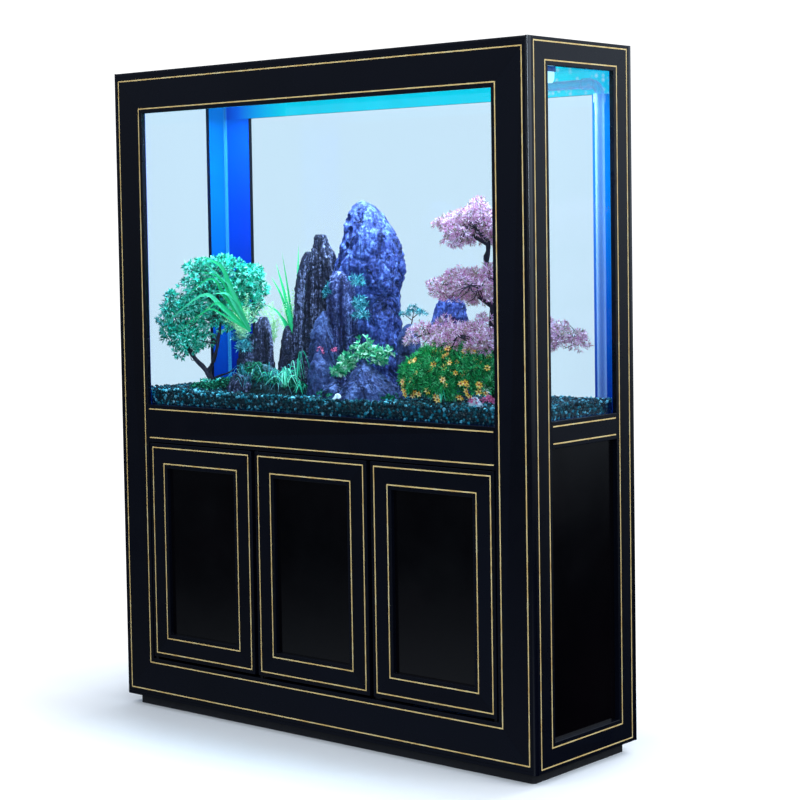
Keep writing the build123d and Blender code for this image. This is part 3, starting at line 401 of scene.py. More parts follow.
# BLUE and SKY darken downwards from near the lamp: a painted falloff of its light. CYAN darkens towards the
# band's left end.
BLUE = film(
    "blue_film",
    (
        (0.0, (0.0, 0.005, 0.18)),
        (0.3, (0.0, 0.03, 0.50)),
        (0.6, (0.0, 0.075, 0.95)),
        (0.82, (0.0, 0.14, 0.98)),
        (1.0, (0.0, 0.16, 0.80)),
    ),
    FILM_HEIGHTS,
    0.9,
)
SKY = film(
    "sky_film",
    (
        (0.0, (0.0, 0.02, 0.30)),
        (0.3, (0.0, 0.12, 0.62)),
        (0.65, (0.0, 0.30, 0.90)),
        (1.0, (0.0, 0.26, 0.85)),
    ),
    FILM_HEIGHTS,
    0.9,
)
CYAN = film(
    "cyan_film",
    (
        (0.0, (0.0, 0.05, 0.60)),
        (0.04, (0.0, 0.17, 0.92)),
        (0.09, (0.0, 0.48, 0.98)),
        (0.17, (0.0, 0.88, 1.0)),
        (0.88, (0.0, 0.92, 1.0)),
        (1.0, (0.02, 0.70, 1.0)),
    ),
    FILM_LENGTH,
    0.98,
    band=True,
)

FINISHES = {
    "black_lacquer": lacquer(),
    "brass_line": brass(),
    "dark_board": dark_board(),
    "tank_glass": glazing("tank_glass", (0.850, 0.920, 0.962), (0.842, 0.910, 0.955)),
    "sump_glass": glazing("sump_glass", (0.82, 0.93, 0.93), (0.76, 0.88, 0.88)),
    # silicone and clear_pipe glow with painted light: veiled's last value is its strength.
    "silicone": veiled("silicone", (0.75, 0.93, 1.0), (0.08, 0.62, 0.95), 0.10, 0.6),
    "lamp_metal": metal("lamp_metal", (0.40, 0.38, 0.52), (0.28, 0.27, 0.42), 0.38),
    "lamp_opal": opal(),
    "clear_pipe": veiled("clear_pipe", (0.92, 0.97, 1.0), (0.45, 0.66, 0.98), 0.08, 0.3),
    "pipe_fitting": moulded("pipe_fitting", (0.022, 0.024, 0.028), (0.012, 0.013, 0.016), 0.4),
    "valve_red": moulded("valve_red", (0.42, 0.02, 0.015), (0.26, 0.012, 0.01), 0.4),
    "black_plastic": moulded("black_plastic", (0.012, 0.012, 0.013), (0.006, 0.006, 0.007), 0.55),
    "steel": metal("steel", (0.60, 0.60, 0.62), (0.45, 0.45, 0.47), 0.3),
    "sponge": foam(),
}
PANELS = ("door_panel_left", "door_panel_middle", "door_panel_right", "side_panels", "back_panel")
for part in frame["record"]["subparts"]:
    finish = PANEL if part["node"] in PANELS else FINISHES.get(part["material_slot"])
    if part["node"].startswith("door_hardware"):
        finish = DARK_STEEL
    if part["node"] == "corner_beads":
        finish = BEAD
    if finish:
        for held in nodes[part["node"]].material_slots:
            held.material = finish


# ---- Mesh helpers ------------------------------------------------------------------------
class Shape:
    """Vertices and faces gathered in millimetres before they become one piece."""

    def __init__(self):
        self.points = []
        self.faces = []

    def add(self, points, faces):
        start = len(self.points)
        self.points.extend(points)
        self.faces.extend(tuple(start + index for index in face) for face in faces)

    def block(self, low, high):
        """A closed box."""
        corners = [Vector(corner) for corner in product(*zip(low, high))]
        sides = ((0, 1, 3, 2), (4, 6, 7, 5), (0, 4, 5, 1), (2, 3, 7, 6), (0, 2, 6, 4), (1, 5, 7, 3))
        self.add(corners, sides)


def add_piece(name, shape, material, replaces=None, smooth=True, body="cabinet"):
    """Makes one object in the row frame that rides on a CAD body."""
    mesh = bpy.data.meshes.new(name)
    mesh.from_pydata([tuple(Vector(p) * MM) for p in shape.points], [], shape.faces)
    mesh.validate()
    mesh.materials.append(material)
    mesh.polygons.foreach_set("use_smooth", [smooth] * len(mesh.polygons))
    mesh.update()
    made = bpy.data.objects.new(name, mesh)
    bpy.context.collection.objects.link(made)
    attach(made, body)
    if replaces:
        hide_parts(replaces)
    return made


def curve_points(knots, count):
    """A smooth path through knots, as count points (Catmull-Rom)."""
    knots = [Vector(k) for k in knots]
    padded = [2 * knots[0] - knots[1], *knots, 2 * knots[-1] - knots[-2]]
    path = []
    for step in range(count):
        place = step / (count - 1) * (len(knots) - 1)
        index = min(int(place), len(knots) - 2)
        t = place - index
        a, b, c, d = padded[index : index + 4]
        bend = (2 * a - 5 * b + 4 * c - d) * t * t
        twist = (3 * b - a - 3 * c + d) * t**3
        path.append(0.5 * (2 * b + (c - a) * t + bend + twist))
    return path


def sideways(direction):
    """Two unit vectors square to a direction."""
    direction = direction.normalized()
    first = direction.cross(Vector((0, 0, 1)) if abs(direction.z) < 0.9 else Vector((1, 0, 0))).normalized()
    return first, direction.cross(first)


def ring_faces(rings, sides, foot, crest):
    """Faces round rings of points, closed by a point at the foot and one at the crest."""
    faces = []
    for low in range(0, (rings - 1) * sides, sides):
        for side in range(sides):
            other = (side + 1) % sides
            faces.append((low + side, low + other, low + sides + other, low + sides + side))
    last = (rings - 1) * sides
    for side in range(sides):
        other = (side + 1) % sides
        faces.append((foot, other, side))
        faces.append((crest, last + side, last + other))
    return faces


def add_tube(shape, knots, start, end, sides=10, count=16, knobs=0.0, seed=0):
    """A tapering branch through knots, with knobbly bark."""
    path = curve_points(knots, count)
    rings = []
    for index, point in enumerate(path):
        ahead = path[min(index + 1, count - 1)] - path[max(index - 1, 0)]
        first, second = sideways(ahead)
        radius = start + (end - start) * index / (count - 1)
        for side in range(sides):
            angle = math.tau * side / sides
            out = math.cos(angle) * first + math.sin(angle) * second
            swell = 1 + knobs * noise.noise(Vector((angle, index * 0.5, seed)))
            rings.append(point + out * radius * swell)
    rings += [path[0], path[-1]]
    shape.add(rings, ring_faces(count, sides, count * sides, count * sides + 1))


def add_leaf(shape, root, direction, up, length, width, fold=0.25):
    """One small pointed leaf, folded along its middle."""
    side = direction.cross(up).normalized() * width / 2
    middle = root + direction * length * 0.45
    lift = up * width * fold
    points = (root, middle + side + lift, root + direction * length, middle - side + lift, middle)
    shape.add(points, ((0, 1, 4), (1, 2, 4), (0, 4, 3), (4, 2, 3)))


def add_blade(shape, knots, width, facing=(0.3, -1, 0.35), count=14):
    """A long grass blade: a ribbon facing one way that narrows to a point, folded down its middle."""
    path = curve_points(knots, count)
    points = []
    for index, point in enumerate(path):
        ahead = (path[min(index + 1, count - 1)] - path[max(index - 1, 0)]).normalized()
        side = ahead.cross(Vector(facing))
        side = side.normalized() if side.length > 0.05 else Vector((1, 0, 0))
        t = index / (count - 1)
        half = width / 2 * min(1, 0.45 + 2.2 * t) * (1 - t**2.2) + 0.05
        dip = side.cross(ahead).normalized() * half * 0.18
        points += [point - side * half, point - dip, point + side * half]
    faces = []
    for index in range(count - 1):
        low = index * 3
        faces.append((low, low + 1, low + 4, low + 3))
        faces.append((low + 1, low + 2, low + 5, low + 4))
    shape.add(points, faces)


def random_way(chance, upward=0.0):
    """A random unit vector, leaning up by upward."""
    while True:
        way = Vector([chance.uniform(-1, 1) for _ in range(3)])
        if 0.05 < way.length < 1:
            way = way.normalized() + Vector((0, 0, upward))
            return way.normalized()


def add_sprig(shape, place, way, chance, count, length, width):
    """A whorl of leaves round a shoot's tip."""
    first, second = sideways(way)
    turn = chance.uniform(0, math.tau)
    for index in range(count):
        angle = turn + math.tau * index / count + chance.uniform(-0.3, 0.3)
        out = math.cos(angle) * first + math.sin(angle) * second
        direction = (way * chance.uniform(0.35, 1.0) + out * 0.9).normalized()
        size = chance.uniform(0.75, 1.2)
        add_leaf(shape, place, direction, way, length * size, width * size)


# ---- Blue backing between glass and casing -----------------------------------------------
back_low, back_high = mm_box("tank_back_glass")
side_high = mm_box("tank_side_glass")[1]
frame_high = mm_box("front_frame")[1]
side_frame_high = mm_box("right_side_frame")[1]
cap_low = mm_box("top_cap")[0]
FRAME_BOARD, SIDE_BOARD = 86.4, 55.2  # widths of the boards of the front and the side frames
SIDE_RAIL_RISE = 9.4  # the side rails' top edge stands this far above the front rail's
FILM, FILM_BACK = 0.5, 0.3  # film thickness and its distance from the boards


def add_backing():
    """Film on the inner faces of all four frames, from the tank floor up to the cap."""
    uprights, ends, bands = Shape(), Shape(), Shape()
    low, high = back_low.z + 1, cap_low.z - 1
    long_open = frame_high.x - FRAME_BOARD
    long_top, long_low = frame_high.z - FRAME_BOARD, mm_box("front_mid_rail")[1].z
    reach = side_high.x
    for end in (-1, 1):
        level = end * (back_high.y + 1 - FILM_BACK)
        near, far = sorted((level, level - end * FILM))
        uprights.block((-reach, near, low), (-long_open, far, long_top))
        ends.block((long_open, near, low), (reach, far, long_top))
        uprights.block((-long_open, near, low), (long_open, far, long_low))
        bands.block((-reach, near, long_top), (reach, far, high))
    side_open, side_top = side_frame_high.y - SIDE_BOARD, side_frame_high.z - SIDE_BOARD
    side_foot = long_low + SIDE_RAIL_RISE
    reach = back_high.y - 1
    for side in (-1, 1):
        level = side * (side_high.x + 1 - FILM_BACK)
        near, far = sorted((level, level - side * FILM))
        for a, b in ((-reach, -side_open), (side_open, reach)):
            ends.block((near, a, low), (far, b, high))
        ends.block((near, -side_open, low), (far, side_open, side_foot))
        ends.block((near, -side_open, side_top), (far, side_open, high))
    add_piece("blue_film", uprights, BLUE, smooth=False)
    add_piece("sky_film", ends, SKY, smooth=False)
    add_piece("cyan_film", bands, CYAN, smooth=False)


add_backing()

# ---- Gravel ------------------------------------------------------------------------------
gravel_low, gravel_high = mm_box("gravel_bed")
CHIP = 8.5  # mean size of a gravel chip
CHIP_STEP, CHIP_LAYER = CHIP * 0.9, CHIP * 0.75  # distances between neighbours and between layers
TANK_FLOOR = 712
CHIP_REACH_X, CHIP_REACH_Y = 581 - 1.3, 161 - 1.3  # chips end 1.3 mm before the panes
LEVEL_DROP, HEAP_DROP = 4, 4  # the chips' level below the CAD bed's top, and the heap's below the chips
WAVE_RISE, RIPPLE_RISE = 3.0, 1.8
COLUMNS, ROWS = 116, 32  # the heap's grid


def gravel_level(x, y):
    """Height of the gravel: a slightly raised, uneven bed."""
    wave = noise.noise(Vector((x / 130, y / 90, 4.2)))
    ripple = noise.noise(Vector((x / 34, y / 34, 9.1)))
    return gravel_high.z - LEVEL_DROP + WAVE_RISE * wave + RIPPLE_RISE * ripple


def add_gravel_heap(low, high):
    """A closed low heap with an uneven top."""
    bed = Shape()
    for row in range(ROWS + 1):
        for column in range(COLUMNS + 1):
            x = low.x + (high.x - low.x) * column / COLUMNS
            y = low.y + (high.y - low.y) * row / ROWS
            bed.points.append(Vector((x, y, gravel_level(x, y) - HEAP_DROP)))
    across = COLUMNS + 1
    for row in range(ROWS):
        for a in range(row * across, row * across + COLUMNS):
            bed.faces.append((a, a + 1, a + across + 1, a + across))
    rim = list(range(across))
    rim += [row * across + COLUMNS for row in range(1, ROWS + 1)]
    rim += [ROWS * across + column for column in range(COLUMNS - 1, -1, -1)]
    rim += [row * across for row in range(ROWS - 1, 0, -1)]
    foot = len(bed.points)
    bed.points += [Vector((bed.points[i].x, bed.points[i].y, low.z)) for i in rim]
    for index, top in enumerate(rim):
        other = (index + 1) % len(rim)
        bed.faces.append((top, foot + index, foot + other, rim[other]))
    bed.faces.append(tuple(range(foot, foot + len(rim)))[::-1])
    add_piece("gravel_heap", bed, GRAVEL, "gravel_bed")


GOLDEN = (1 + math.sqrt(5)) / 2
# A chip is a bent icosahedron: its twelve corners and twenty faces.
CHIP_CORNERS = [Vector(p).normalized() for p in (
    (-1, GOLDEN, 0), (1, GOLDEN, 0), (-1, -GOLDEN, 0), (1, -GOLDEN, 0),
    (0, -1, GOLDEN), (0, 1, GOLDEN), (0, -1, -GOLDEN), (0, 1, -GOLDEN),
    (GOLDEN, 0, -1), (GOLDEN, 0, 1), (-GOLDEN, 0, -1), (-GOLDEN, 0, 1),
)]
CHIP_FACES = (
    (0, 11, 5), (0, 5, 1), (0, 1, 7), (0, 7, 10), (0, 10, 11), (1, 5, 9), (5, 11, 4), (11, 10, 2),
    (10, 7, 6), (7, 1, 8), (3, 9, 4), (3, 4, 2), (3, 2, 6), (3, 6, 8), (3, 8, 9), (4, 9, 5),
    (2, 4, 11), (6, 2, 10), (8, 6, 7), (9, 8, 1),
)


def add_chip(shape, place, size, chance):
    """One gravel chip, turned at random and kept off the panes."""
    turn = Matrix.Rotation(chance.uniform(0, math.tau), 3, random_way(chance))
    scale = Vector([size / 2 * chance.uniform(0.6, 1.15) for _ in range(3)])
    points = []
    for corner in CHIP_CORNERS:
        p = corner * chance.uniform(0.8, 1.2)
        p = turn @ Vector((p.x * scale.x, p.y * scale.y, p.z * scale.z)) + place
        p.x = min(max(p.x, -CHIP_REACH_X), CHIP_REACH_X)
        p.y = min(max(p.y, -CHIP_REACH_Y), CHIP_REACH_Y)
        points.append(p)
    shape.add(points, CHIP_FACES)


def add_gravel_chips(low, high):
    """Chips over the heap's top and in layers against the four panes."""
    chance = random.Random(11)
    chips = Shape()
    counts = [int((high[axis] - low[axis]) / CHIP_STEP) for axis in (0, 1)]
    for column in range(counts[0]):
        for row in range(counts[1]):
            x = low.x + (column + chance.uniform(0.1, 0.9)) * CHIP_STEP
            y = low.y + (row + chance.uniform(0.1, 0.9)) * CHIP_STEP
            place = Vector((x, y, gravel_level(x, y) + chance.uniform(-1.5, 1.8)))
            add_chip(chips, place, CHIP * chance.uniform(0.7, 1.3), chance)
    for layer in range(int((gravel_high.z - TANK_FLOOR) / CHIP_LAYER)):
        z = TANK_FLOOR + (layer + 0.5) * CHIP_LAYER
        for along, across in ((0, 1), (1, 0)):
            for pane, index in product((low[across], high[across]), range(counts[along])):
                place = Vector((pane, pane, 0))
                place[along] = low[along] + (index + chance.uniform(0, 1)) * CHIP_STEP
                place.z = z + chance.uniform(-2, 2)
                add_chip(chips, place, CHIP * chance.uniform(0.8, 1.2), chance)
    add_piece("gravel_chips", chips, GRAVEL, smooth=False)


GRAVEL = pebbles()
bed_low, bed_high = gravel_low + Vector((2, 2, 0.5)), gravel_high - Vector((2, 2, 0))
add_gravel_heap(bed_low, bed_high)
add_gravel_chips(bed_low, bed_high)

# ---- Stones ------------------------------------------------------------------------------
BLUE_STONE = stone("rock_blue", (0.003, 0.004, 0.028), (0.034, 0.054, 0.25), (0.20, 0.31, 0.82), 0.35, 44)
SLATE = stone(
    "rock_slate", (0.003, 0.003, 0.008), (0.030, 0.030, 0.068), (0.46, 0.48, 0.80),
    0.04, 62, (0.40, 0.52, 0.63), 0.25,
)
BLUE_SLATE = stone(
    "rock_blue_slate", (0.004, 0.005, 0.025), (0.034, 0.042, 0.16), (0.36, 0.42, 0.85),
    0.06, 50, (0.38, 0.5, 0.63), 0.4,
)
VIOLET = stone("rock_violet", (0.010, 0.014, 0.045), (0.044, 0.062, 0.19), (0.18, 0.26, 0.56), 0.4, 40)
MOSSY = stone("rock_mossy", (0.002, 0.008, 0.010), (0.010, 0.035, 0.035), (0.06, 0.14, 0.18))
WHITE_STONE = stone("rock_white", (0.45, 0.50, 0.56), (0.70, 0.76, 0.80), (0.90, 0.95, 0.97), 0.8, veins=0.1)

# A stone seen from the camera's side spans its outline's width when its plan is this ellipse.
PLAN_X, PLAN_Y = 0.86, 0.60
BURIED = 12  # a stone goes on below its outline's first row
BULGE_SIZE, CHIP_SIZE, CREASE_SIZE = 42, 11, 46  # millimetres from one to the next
CHIP_DEPTH, CREASE_DEPTH = 2.3, 5.0  # at most; less on small stones


def outline_at(rows, z):
    """The outline's left and right at a height, from rows of (height, left, right)."""
    if z <= rows[0][0]:
        return rows[0][1:]
    for (z0, l0, r0), (z1, l1, r1) in zip(rows, rows[1:]):
        if z <= z1:
            t = (z - z0) / (z1 - z0)
            return l0 + (l1 - l0) * t, r0 + (r1 - r0) * t
    return rows[-1][1:]


def add_stone(name, rows, y, material, seed, beds, lumps, sides, rings, square=2.6, dents=()):
    """A stone through an outline.

    beds is the depth of its ridges and lumps that of its bulges. A dent is (x, z, reach, depth).
    """
    shape = Shape()
    own = Vector((seed * 7.3, seed * 3.1, 0))
    low, high = rows[0][0] - BURIED, rows[-1][0]
    for ring in range(rings):
        t = ring / (rings - 1)
        z = low + (high - low) * t
        left, right = outline_at(rows, z)
        half, middle = (right - left) / 2, (left + right) / 2
        for side in range(sides):
            angle = math.tau * side / sides
            c, s = math.cos(angle), math.sin(angle)
            round_off = (abs(c) ** square + abs(s) ** square) ** (-1 / square)
            out = Vector((c * PLAN_X * round_off, s * PLAN_Y * round_off, 0))
            base = Vector((c * half, s * half, z))
            spot = own + Vector((c, s, 0)) * half / 26 + Vector((0, 0, z / 900))
            ridge = 1 - abs(noise.noise(spot * 2.1)) * 2
            fine = 1 - abs(noise.noise(spot * 5.3 + Vector((0, 0, z / 260)))) * 2
            bulge = noise.fractal(base / BULGE_SIZE + Vector((seed, seed, seed)), 0.9, 2.1, 4)
            chip = noise.fractal(base / CHIP_SIZE + Vector((seed, 0, seed)), 0.8, 2.0, 3)
            crease = max(0.0, 1 - abs(noise.noise(base / CREASE_SIZE + Vector((0, seed, 0)))) * 9)
            radius = half * (1 - 0.6 * beds + beds * (0.7 * ridge + 0.35 * fine) + lumps * bulge)
            radius += chip * min(CHIP_DEPTH, half * 0.06) - crease * min(CREASE_DEPTH, half * 0.1)
            point = Vector((middle, y, z)) + out * max(radius, 0.5)
            point.z += (1 - 0.2 * (1 - t)) * t * 0.25 * half * (ridge - 0.4) * beds * 3
            for dent_x, dent_z, reach, depth in dents:
                near = math.hypot(point.x - dent_x, point.z - dent_z) / reach
                if near < 1 and s < 0.3:
                    point.y += depth * (1 - near * near) ** 2
            shape.points.append(point)
    crest = sum((Vector(p) for p in shape.points[-sides:]), Vector()) / sides + Vector((0, 0, 1.5))
    foot = Vector(((rows[0][1] + rows[0][2]) / 2, y, low))
    shape.points += [crest, foot]
    shape.faces = ring_faces(rings, sides, rings * sides + 1, rings * sides)
    return add_piece(name, shape, material, "rocks")


FOOT = 745  # the stones' outlines start a little below the gravel's level
add_stone(
    "stone_peak",
    ((FOOT, -105, 112), (800, -104, 104), (880, -103, 86), (940, -102, 82), (975, -101, 84),
     (1000, -102, 92), (1028, -98, 95), (1050, -89, 91), (1075, -84, 81), (1099, -76, 72),
     (1118, -70, 58), (1145, -58, 34), (1162, -46, 12), (1172, -30, -10)),
    30, BLUE_STONE, 1.7, 0.06, 0.09, 190, 210,
    dents=((-42, 1132, 15, 26), (-58, 1102, 14, 22), (-22, 1108, 10, 20), (-64, 1064, 12, 14),
           (-26, 1074, 9, 12)),
)
add_stone(
    "slate_main",
    ((FOOT, -172, -58), (860, -168, -64), (967, -158, -68), (1018, -150, -73), (1048, -144, -80),
     (1075, -140, -94), (1090, -136, -100), (1098, -132, -106)),
    0, SLATE, 3.2, 0.3, 0.04, 170, 170, square=4,
)
add_stone(
    "slate_left",
    ((FOOT, -222, -140), (896, -211, -142), (968, -203, -144), (1001, -198, -146), (1026, -192, -147),
     (1050, -182, -146), (1060, -172, -150)),
    8, SLATE, 5.1, 0.3, 0.04, 150, 150, square=4,
)
add_stone(
    "slate_step",
    ((FOOT, -246, -184), (806, -239, -190), (853, -232, -196), (880, -225, -204), (893, -219, -210)),
    -14, SLATE, 6.4, 0.26, 0.05, 110, 80, square=4,
)
add_stone(
    "slate_front",
    ((FOOT, -72, 34), (813, -70, 18), (881, -70, 14), (921, -69, 21), (949, -68, 16), (980, -64, 8),
     (1005, -56, -10), (1017, -46, -24)),
    -34, BLUE_SLATE, 8.9, 0.26, 0.07, 150, 120,
)
add_stone(
    "violet_wedge",
    ((FOOT, -110, -2), (813, -106, -12), (851, -103, -18), (884, -97, -28), (911, -82, -38),
     (930, -64, -50)),
    -58, VIOLET, 4.4, 0.06, 0.1, 100, 90,
)
add_stone(
    "violet_small",
    ((FOOT, -86, -12), (790, -80, -20), (814, -76, -24), (838, -60, -48)),
    -88, VIOLET, 2.6, 0.06, 0.12, 70, 60,
)
add_stone(
    "stump",
    ((FOOT, -304, -238), (818, -299, -245), (863, -297, -249), (890, -294, -253), (912, -284, -262)),
    -34, SLATE, 7.7, 0.3, 0.04, 140, 110, square=4,
)
add_stone(
    "stump_side",
    ((FOOT, -364, -286), (804, -357, -290), (832, -350, -294), (861, -338, -300), (872, -326, -308)),
    -26, SLATE, 9.3, 0.26, 0.05, 110, 80, square=4,
)
add_stone(
    "low_left",
    ((738, -318, -234), (765, -314, -240), (778, -307, -262), (786, -300, -280)),
    -104, SLATE, 1.3, 0.14, 0.08, 70, 50,
)
add_stone(
    "mound",
    ((738, -268, -140), (775, -262, -150), (795, -252, -178), (808, -240, -212)),
    -84, MOSSY, 5.8, 0.05, 0.2, 90, 50,
)
add_stone(
    "front_wedge",
    ((738, 16, 194), (758, 26, 186), (774, 37, 174), (790, 50, 148), (805, 62, 126), (820, 78, 100),
     (828, 85, 92)),
    -96, VIOLET, 3.9, 0.06, 0.1, 120, 80,
)
add_stone(
    "far_stone",
    ((FOOT, 104, 232), (880, 118, 222), (914, 125, 217), (942, 134, 212), (955, 146, 205),
     (963, 160, 190)),
    100, BLUE_STONE, 6.1, 0.06, 0.12, 90, 90,
)
add_stone(
    "far_dark",
    ((FOOT, 66, 146), (867, 77, 136), (882, 82, 130), (893, 92, 126), (900, 102, 116)),
    34, VIOLET, 2.2, 0.08, 0.12, 70, 70,
)
LOW_STONES = (
    ("foot_a", ((738, -210, -96), (770, -200, -104), (786, -186, -130)), -92, MOSSY, 8.2, 0.05, 0.2, 80, 40),
    ("foot_b", ((738, -28, 46), (764, -20, 38), (778, -4, 20)), -104, VIOLET, 7.1, 0.05, 0.16, 70, 40),
    ("white_a", ((738, 36, 66), (748, 38, 64), (757, 46, 58)), -140, WHITE_STONE, 1.1, 0.02, 0.12,
     40, 24),
    ("white_b", ((738, 400, 440), (752, 402, 436), (764, 410, 424)), -128, WHITE_STONE, 2.1, 0.02, 0.12,
     40, 24),
)
for values in LOW_STONES:
    add_stone(*values)

# ---- Plants ------------------------------------------------------------------------------
GREEN_LEAF = leafy(
    "leaf_green",
    ((0.0, 0.05, 0.035), (0.0, 0.26, 0.15), (0.0, 0.52, 0.33), (0.05, 0.85, 0.60), (0.50, 1.0, 0.92)),
    0.18,
)
PINK_LEAF = leafy(
    "leaf_pink",
    ((0.14, 0.08, 0.08), (0.36, 0.32, 0.18), (0.82, 0.38, 0.70), (0.52, 0.15, 0.34), (0.96, 0.70, 0.90),
     (1.0, 0.94, 0.98)),
    0.17,
)
BUSH_LEAF = leafy(
    "leaf_bush",
    ((0.0, 0.02, 0.01), (0.0, 0.11, 0.025), (0.0, 0.36, 0.07), (0.01, 0.60, 0.15), (0.20, 0.90, 0.36)),
    0.08,
)
TEAL_LEAF = leafy(
    "leaf_teal", ((0.0, 0.06, 0.08), (0.0, 0.22, 0.25), (0.05, 0.45, 0.50), (0.35, 0.80, 0.85)), 0.05
)
LIME_LEAF = leafy(
    "leaf_lime", ((0.0, 0.14, 0.07), (0.01, 0.40, 0.15), (0.16, 0.68, 0.34), (0.75, 0.98, 0.78)), 0.13
)
PALE_LEAF = leafy("leaf_pale", ((0.22, 0.60, 0.26), (0.50, 0.85, 0.45), (0.75, 0.95, 0.75)), 0.15)
BLADE = leafy("grass_blade", ((0.0, 0.36, 0.11), (0.02, 0.60, 0.20), (0.12, 0.80, 0.45)), 0.2)
TUFT = leafy("tuft_blade", ((0.0, 0.35, 0.18), (0.04, 0.70, 0.40), (0.35, 0.95, 0.70)), 0.2)
MOSS = leafy(
    "leaf_moss", ((0.0, 0.03, 0.025), (0.0, 0.10, 0.05), (0.0, 0.22, 0.10), (0.04, 0.40, 0.22)), 0.03
)
PETAL = leafy("petal_yellow", ((0.92, 0.50, 0.04), (1.0, 0.72, 0.14), (1.0, 0.90, 0.50)), 0.22)
PETAL_RED = leafy("petal_red", ((0.45, 0.04, 0.02), (0.62, 0.10, 0.04)), 0.08)
PETAL_PINK = leafy("petal_pink", ((0.55, 0.08, 0.20), (0.75, 0.25, 0.40)), 0.08)
DARK_BARK = bark("bark", (0.008, 0.006, 0.012), (0.06, 0.045, 0.07))
CLOUD_X, CLOUD_Y = 570, 150  # shoots start inside these, clear of the panes
BUSH_FRONT, PLANT_FRONT, TUFT_FRONT = -150, -152, -156  # how near the front pane each plant comes


def clumps(lobes, count, size, chance, low=-0.4):
    """Small clumps of foliage scattered over the outside of larger lobes."""
    made = []
    weights = [radius for _, _, _, radius, _ in lobes]
    while len(made) < count:
        x, y, z, radius, height = chance.choices(lobes, weights)[0]
        way = random_way(chance)
        if way.z < low:
            continue
        far = chance.uniform(0.62, 0.98)
        own = size * chance.uniform(0.7, 1.25)
        place = (x + way.x * radius * far, y + way.y * radius * far, z + way.z * height * far)
        made.append((*place, own, own * 0.75))
    return made


def add_cloud(shape, lobes, count, chance, leaves, length, width, flat=0.0, inner=0.72, reach=1.0):
    """Sprigs over a cluster of round lobes (x, y, z, radius, height), none deep inside another."""
    weights = [radius * radius for _, _, _, radius, _ in lobes]
    made = 0
    while made < count:
        x, y, z, radius, height = chance.choices(lobes, weights)[0]
        way = random_way(chance)
        if way.z < -0.2 and chance.random() < flat:
            continue
        far = chance.uniform(inner, 1.0) ** 0.5 * chance.uniform(1.0, reach)
        place = Vector((x + way.x * radius * far, y + way.y * radius * far, z + way.z * height * far))
        hidden = any(
            Vector(((place.x - ox) / other, (place.y - oy) / other, (place.z - oz) / tall)).length < 0.62
            for ox, oy, oz, other, tall in lobes
        )
        if hidden and chance.random() < 0.8:
            continue
        if abs(place.x) > CLOUD_X or abs(place.y) > CLOUD_Y:
            continue
        lean = (way + random_way(chance, 0.4) * 0.7).normalized()
        add_sprig(shape, place, lean, chance, leaves, length, width)
        made += 1


def twigs_to(shape, lobes, roots, chance, count, start=1.6):
    """Thin twigs from branch points out into the lobes."""
    for _ in range(count):
        x, y, z, radius, height = chance.choice(lobes)
        way = random_way(chance)
        goal = Vector((x, y, z)) + Vector((way.x * radius, way.y * radius, way.z * height)) * 0.8
        root = min((Vector(r) for r in roots), key=lambda r: (r - goal).length)
        bend = (root + goal) / 2 + random_way(chance) * 8
        add_tube(shape, (root, bend, goal), start, 0.5, 6, 7)


def add_green_bonsai():
    """Green tree leaning left on a forked trunk, its crown rising to the right."""
    chance = random.Random(5)
    wood = Shape()
    trunk = ((-425, -52, 736), (-428, -52, 762), (-446, -52, 788), (-474, -56, 810), (-500, -58, 840),
             (-518, -60, 880))
    fork = ((-440, -52, 780), (-424, -48, 808), (-412, -44, 850), (-408, -38, 910), (-418, -38, 980))
    side = ((-428, -52, 764), (-402, -52, 774), (-370, -56, 782), (-346, -58, 792))
    add_tube(wood, trunk, 8, 2.5, 12, 22, 0.5, 1)
    add_tube(wood, fork, 5.5, 2, 12, 22, 0.5, 2)
    add_tube(wood, side, 3.2, 1.2, 10, 16, 0.5, 3)
    lobes = (
        (-474, -46, 1004, 46, 34), (-430, -30, 1030, 40, 30), (-380, -24, 1022, 44, 32),
        (-338, -20, 1000, 38, 30), (-520, -56, 950, 38, 34), (-462, -50, 952, 46, 40),
        (-404, -34, 968, 50, 40), (-350, -20, 956, 36, 30), (-538, -60, 902, 30, 28),
        (-490, -54, 892, 42, 36), (-436, -40, 906, 44, 36), (-390, -20, 914, 34, 30),
        (-512, -60, 856, 32, 24), (-460, -52, 856, 34, 22), (-500, -60, 826, 22, 16),
        (-440, 10, 940, 52, 56), (-500, -20, 910, 40, 44), (-370, 10, 980, 44, 40),
        (-330, -10, 930, 20, 20), (-544, -62, 868, 18, 16),
    )
    roots = trunk[2:] + fork[1:]
    twigs_to(wood, lobes, roots, chance, 120, 1.5)
    add_piece("green_bonsai_wood", wood, DARK_BARK)
    leaves = Shape()
    crown = clumps(lobes, count=135, size=17, chance=chance, low=-0.8)
    add_cloud(leaves, crown, 2900, chance, leaves=5, length=12, width=4.4, reach=1.16)
    for _ in range(70):
        spot = Vector((chance.uniform(-440, -362), chance.uniform(-90, -50), chance.uniform(750, 766)))
        add_sprig(leaves, spot, random_way(chance, 0.8), chance, 5, 9, 3.4)
    add_piece("green_bonsai_leaves", leaves, GREEN_LEAF, "bonsai_green", smooth=False)


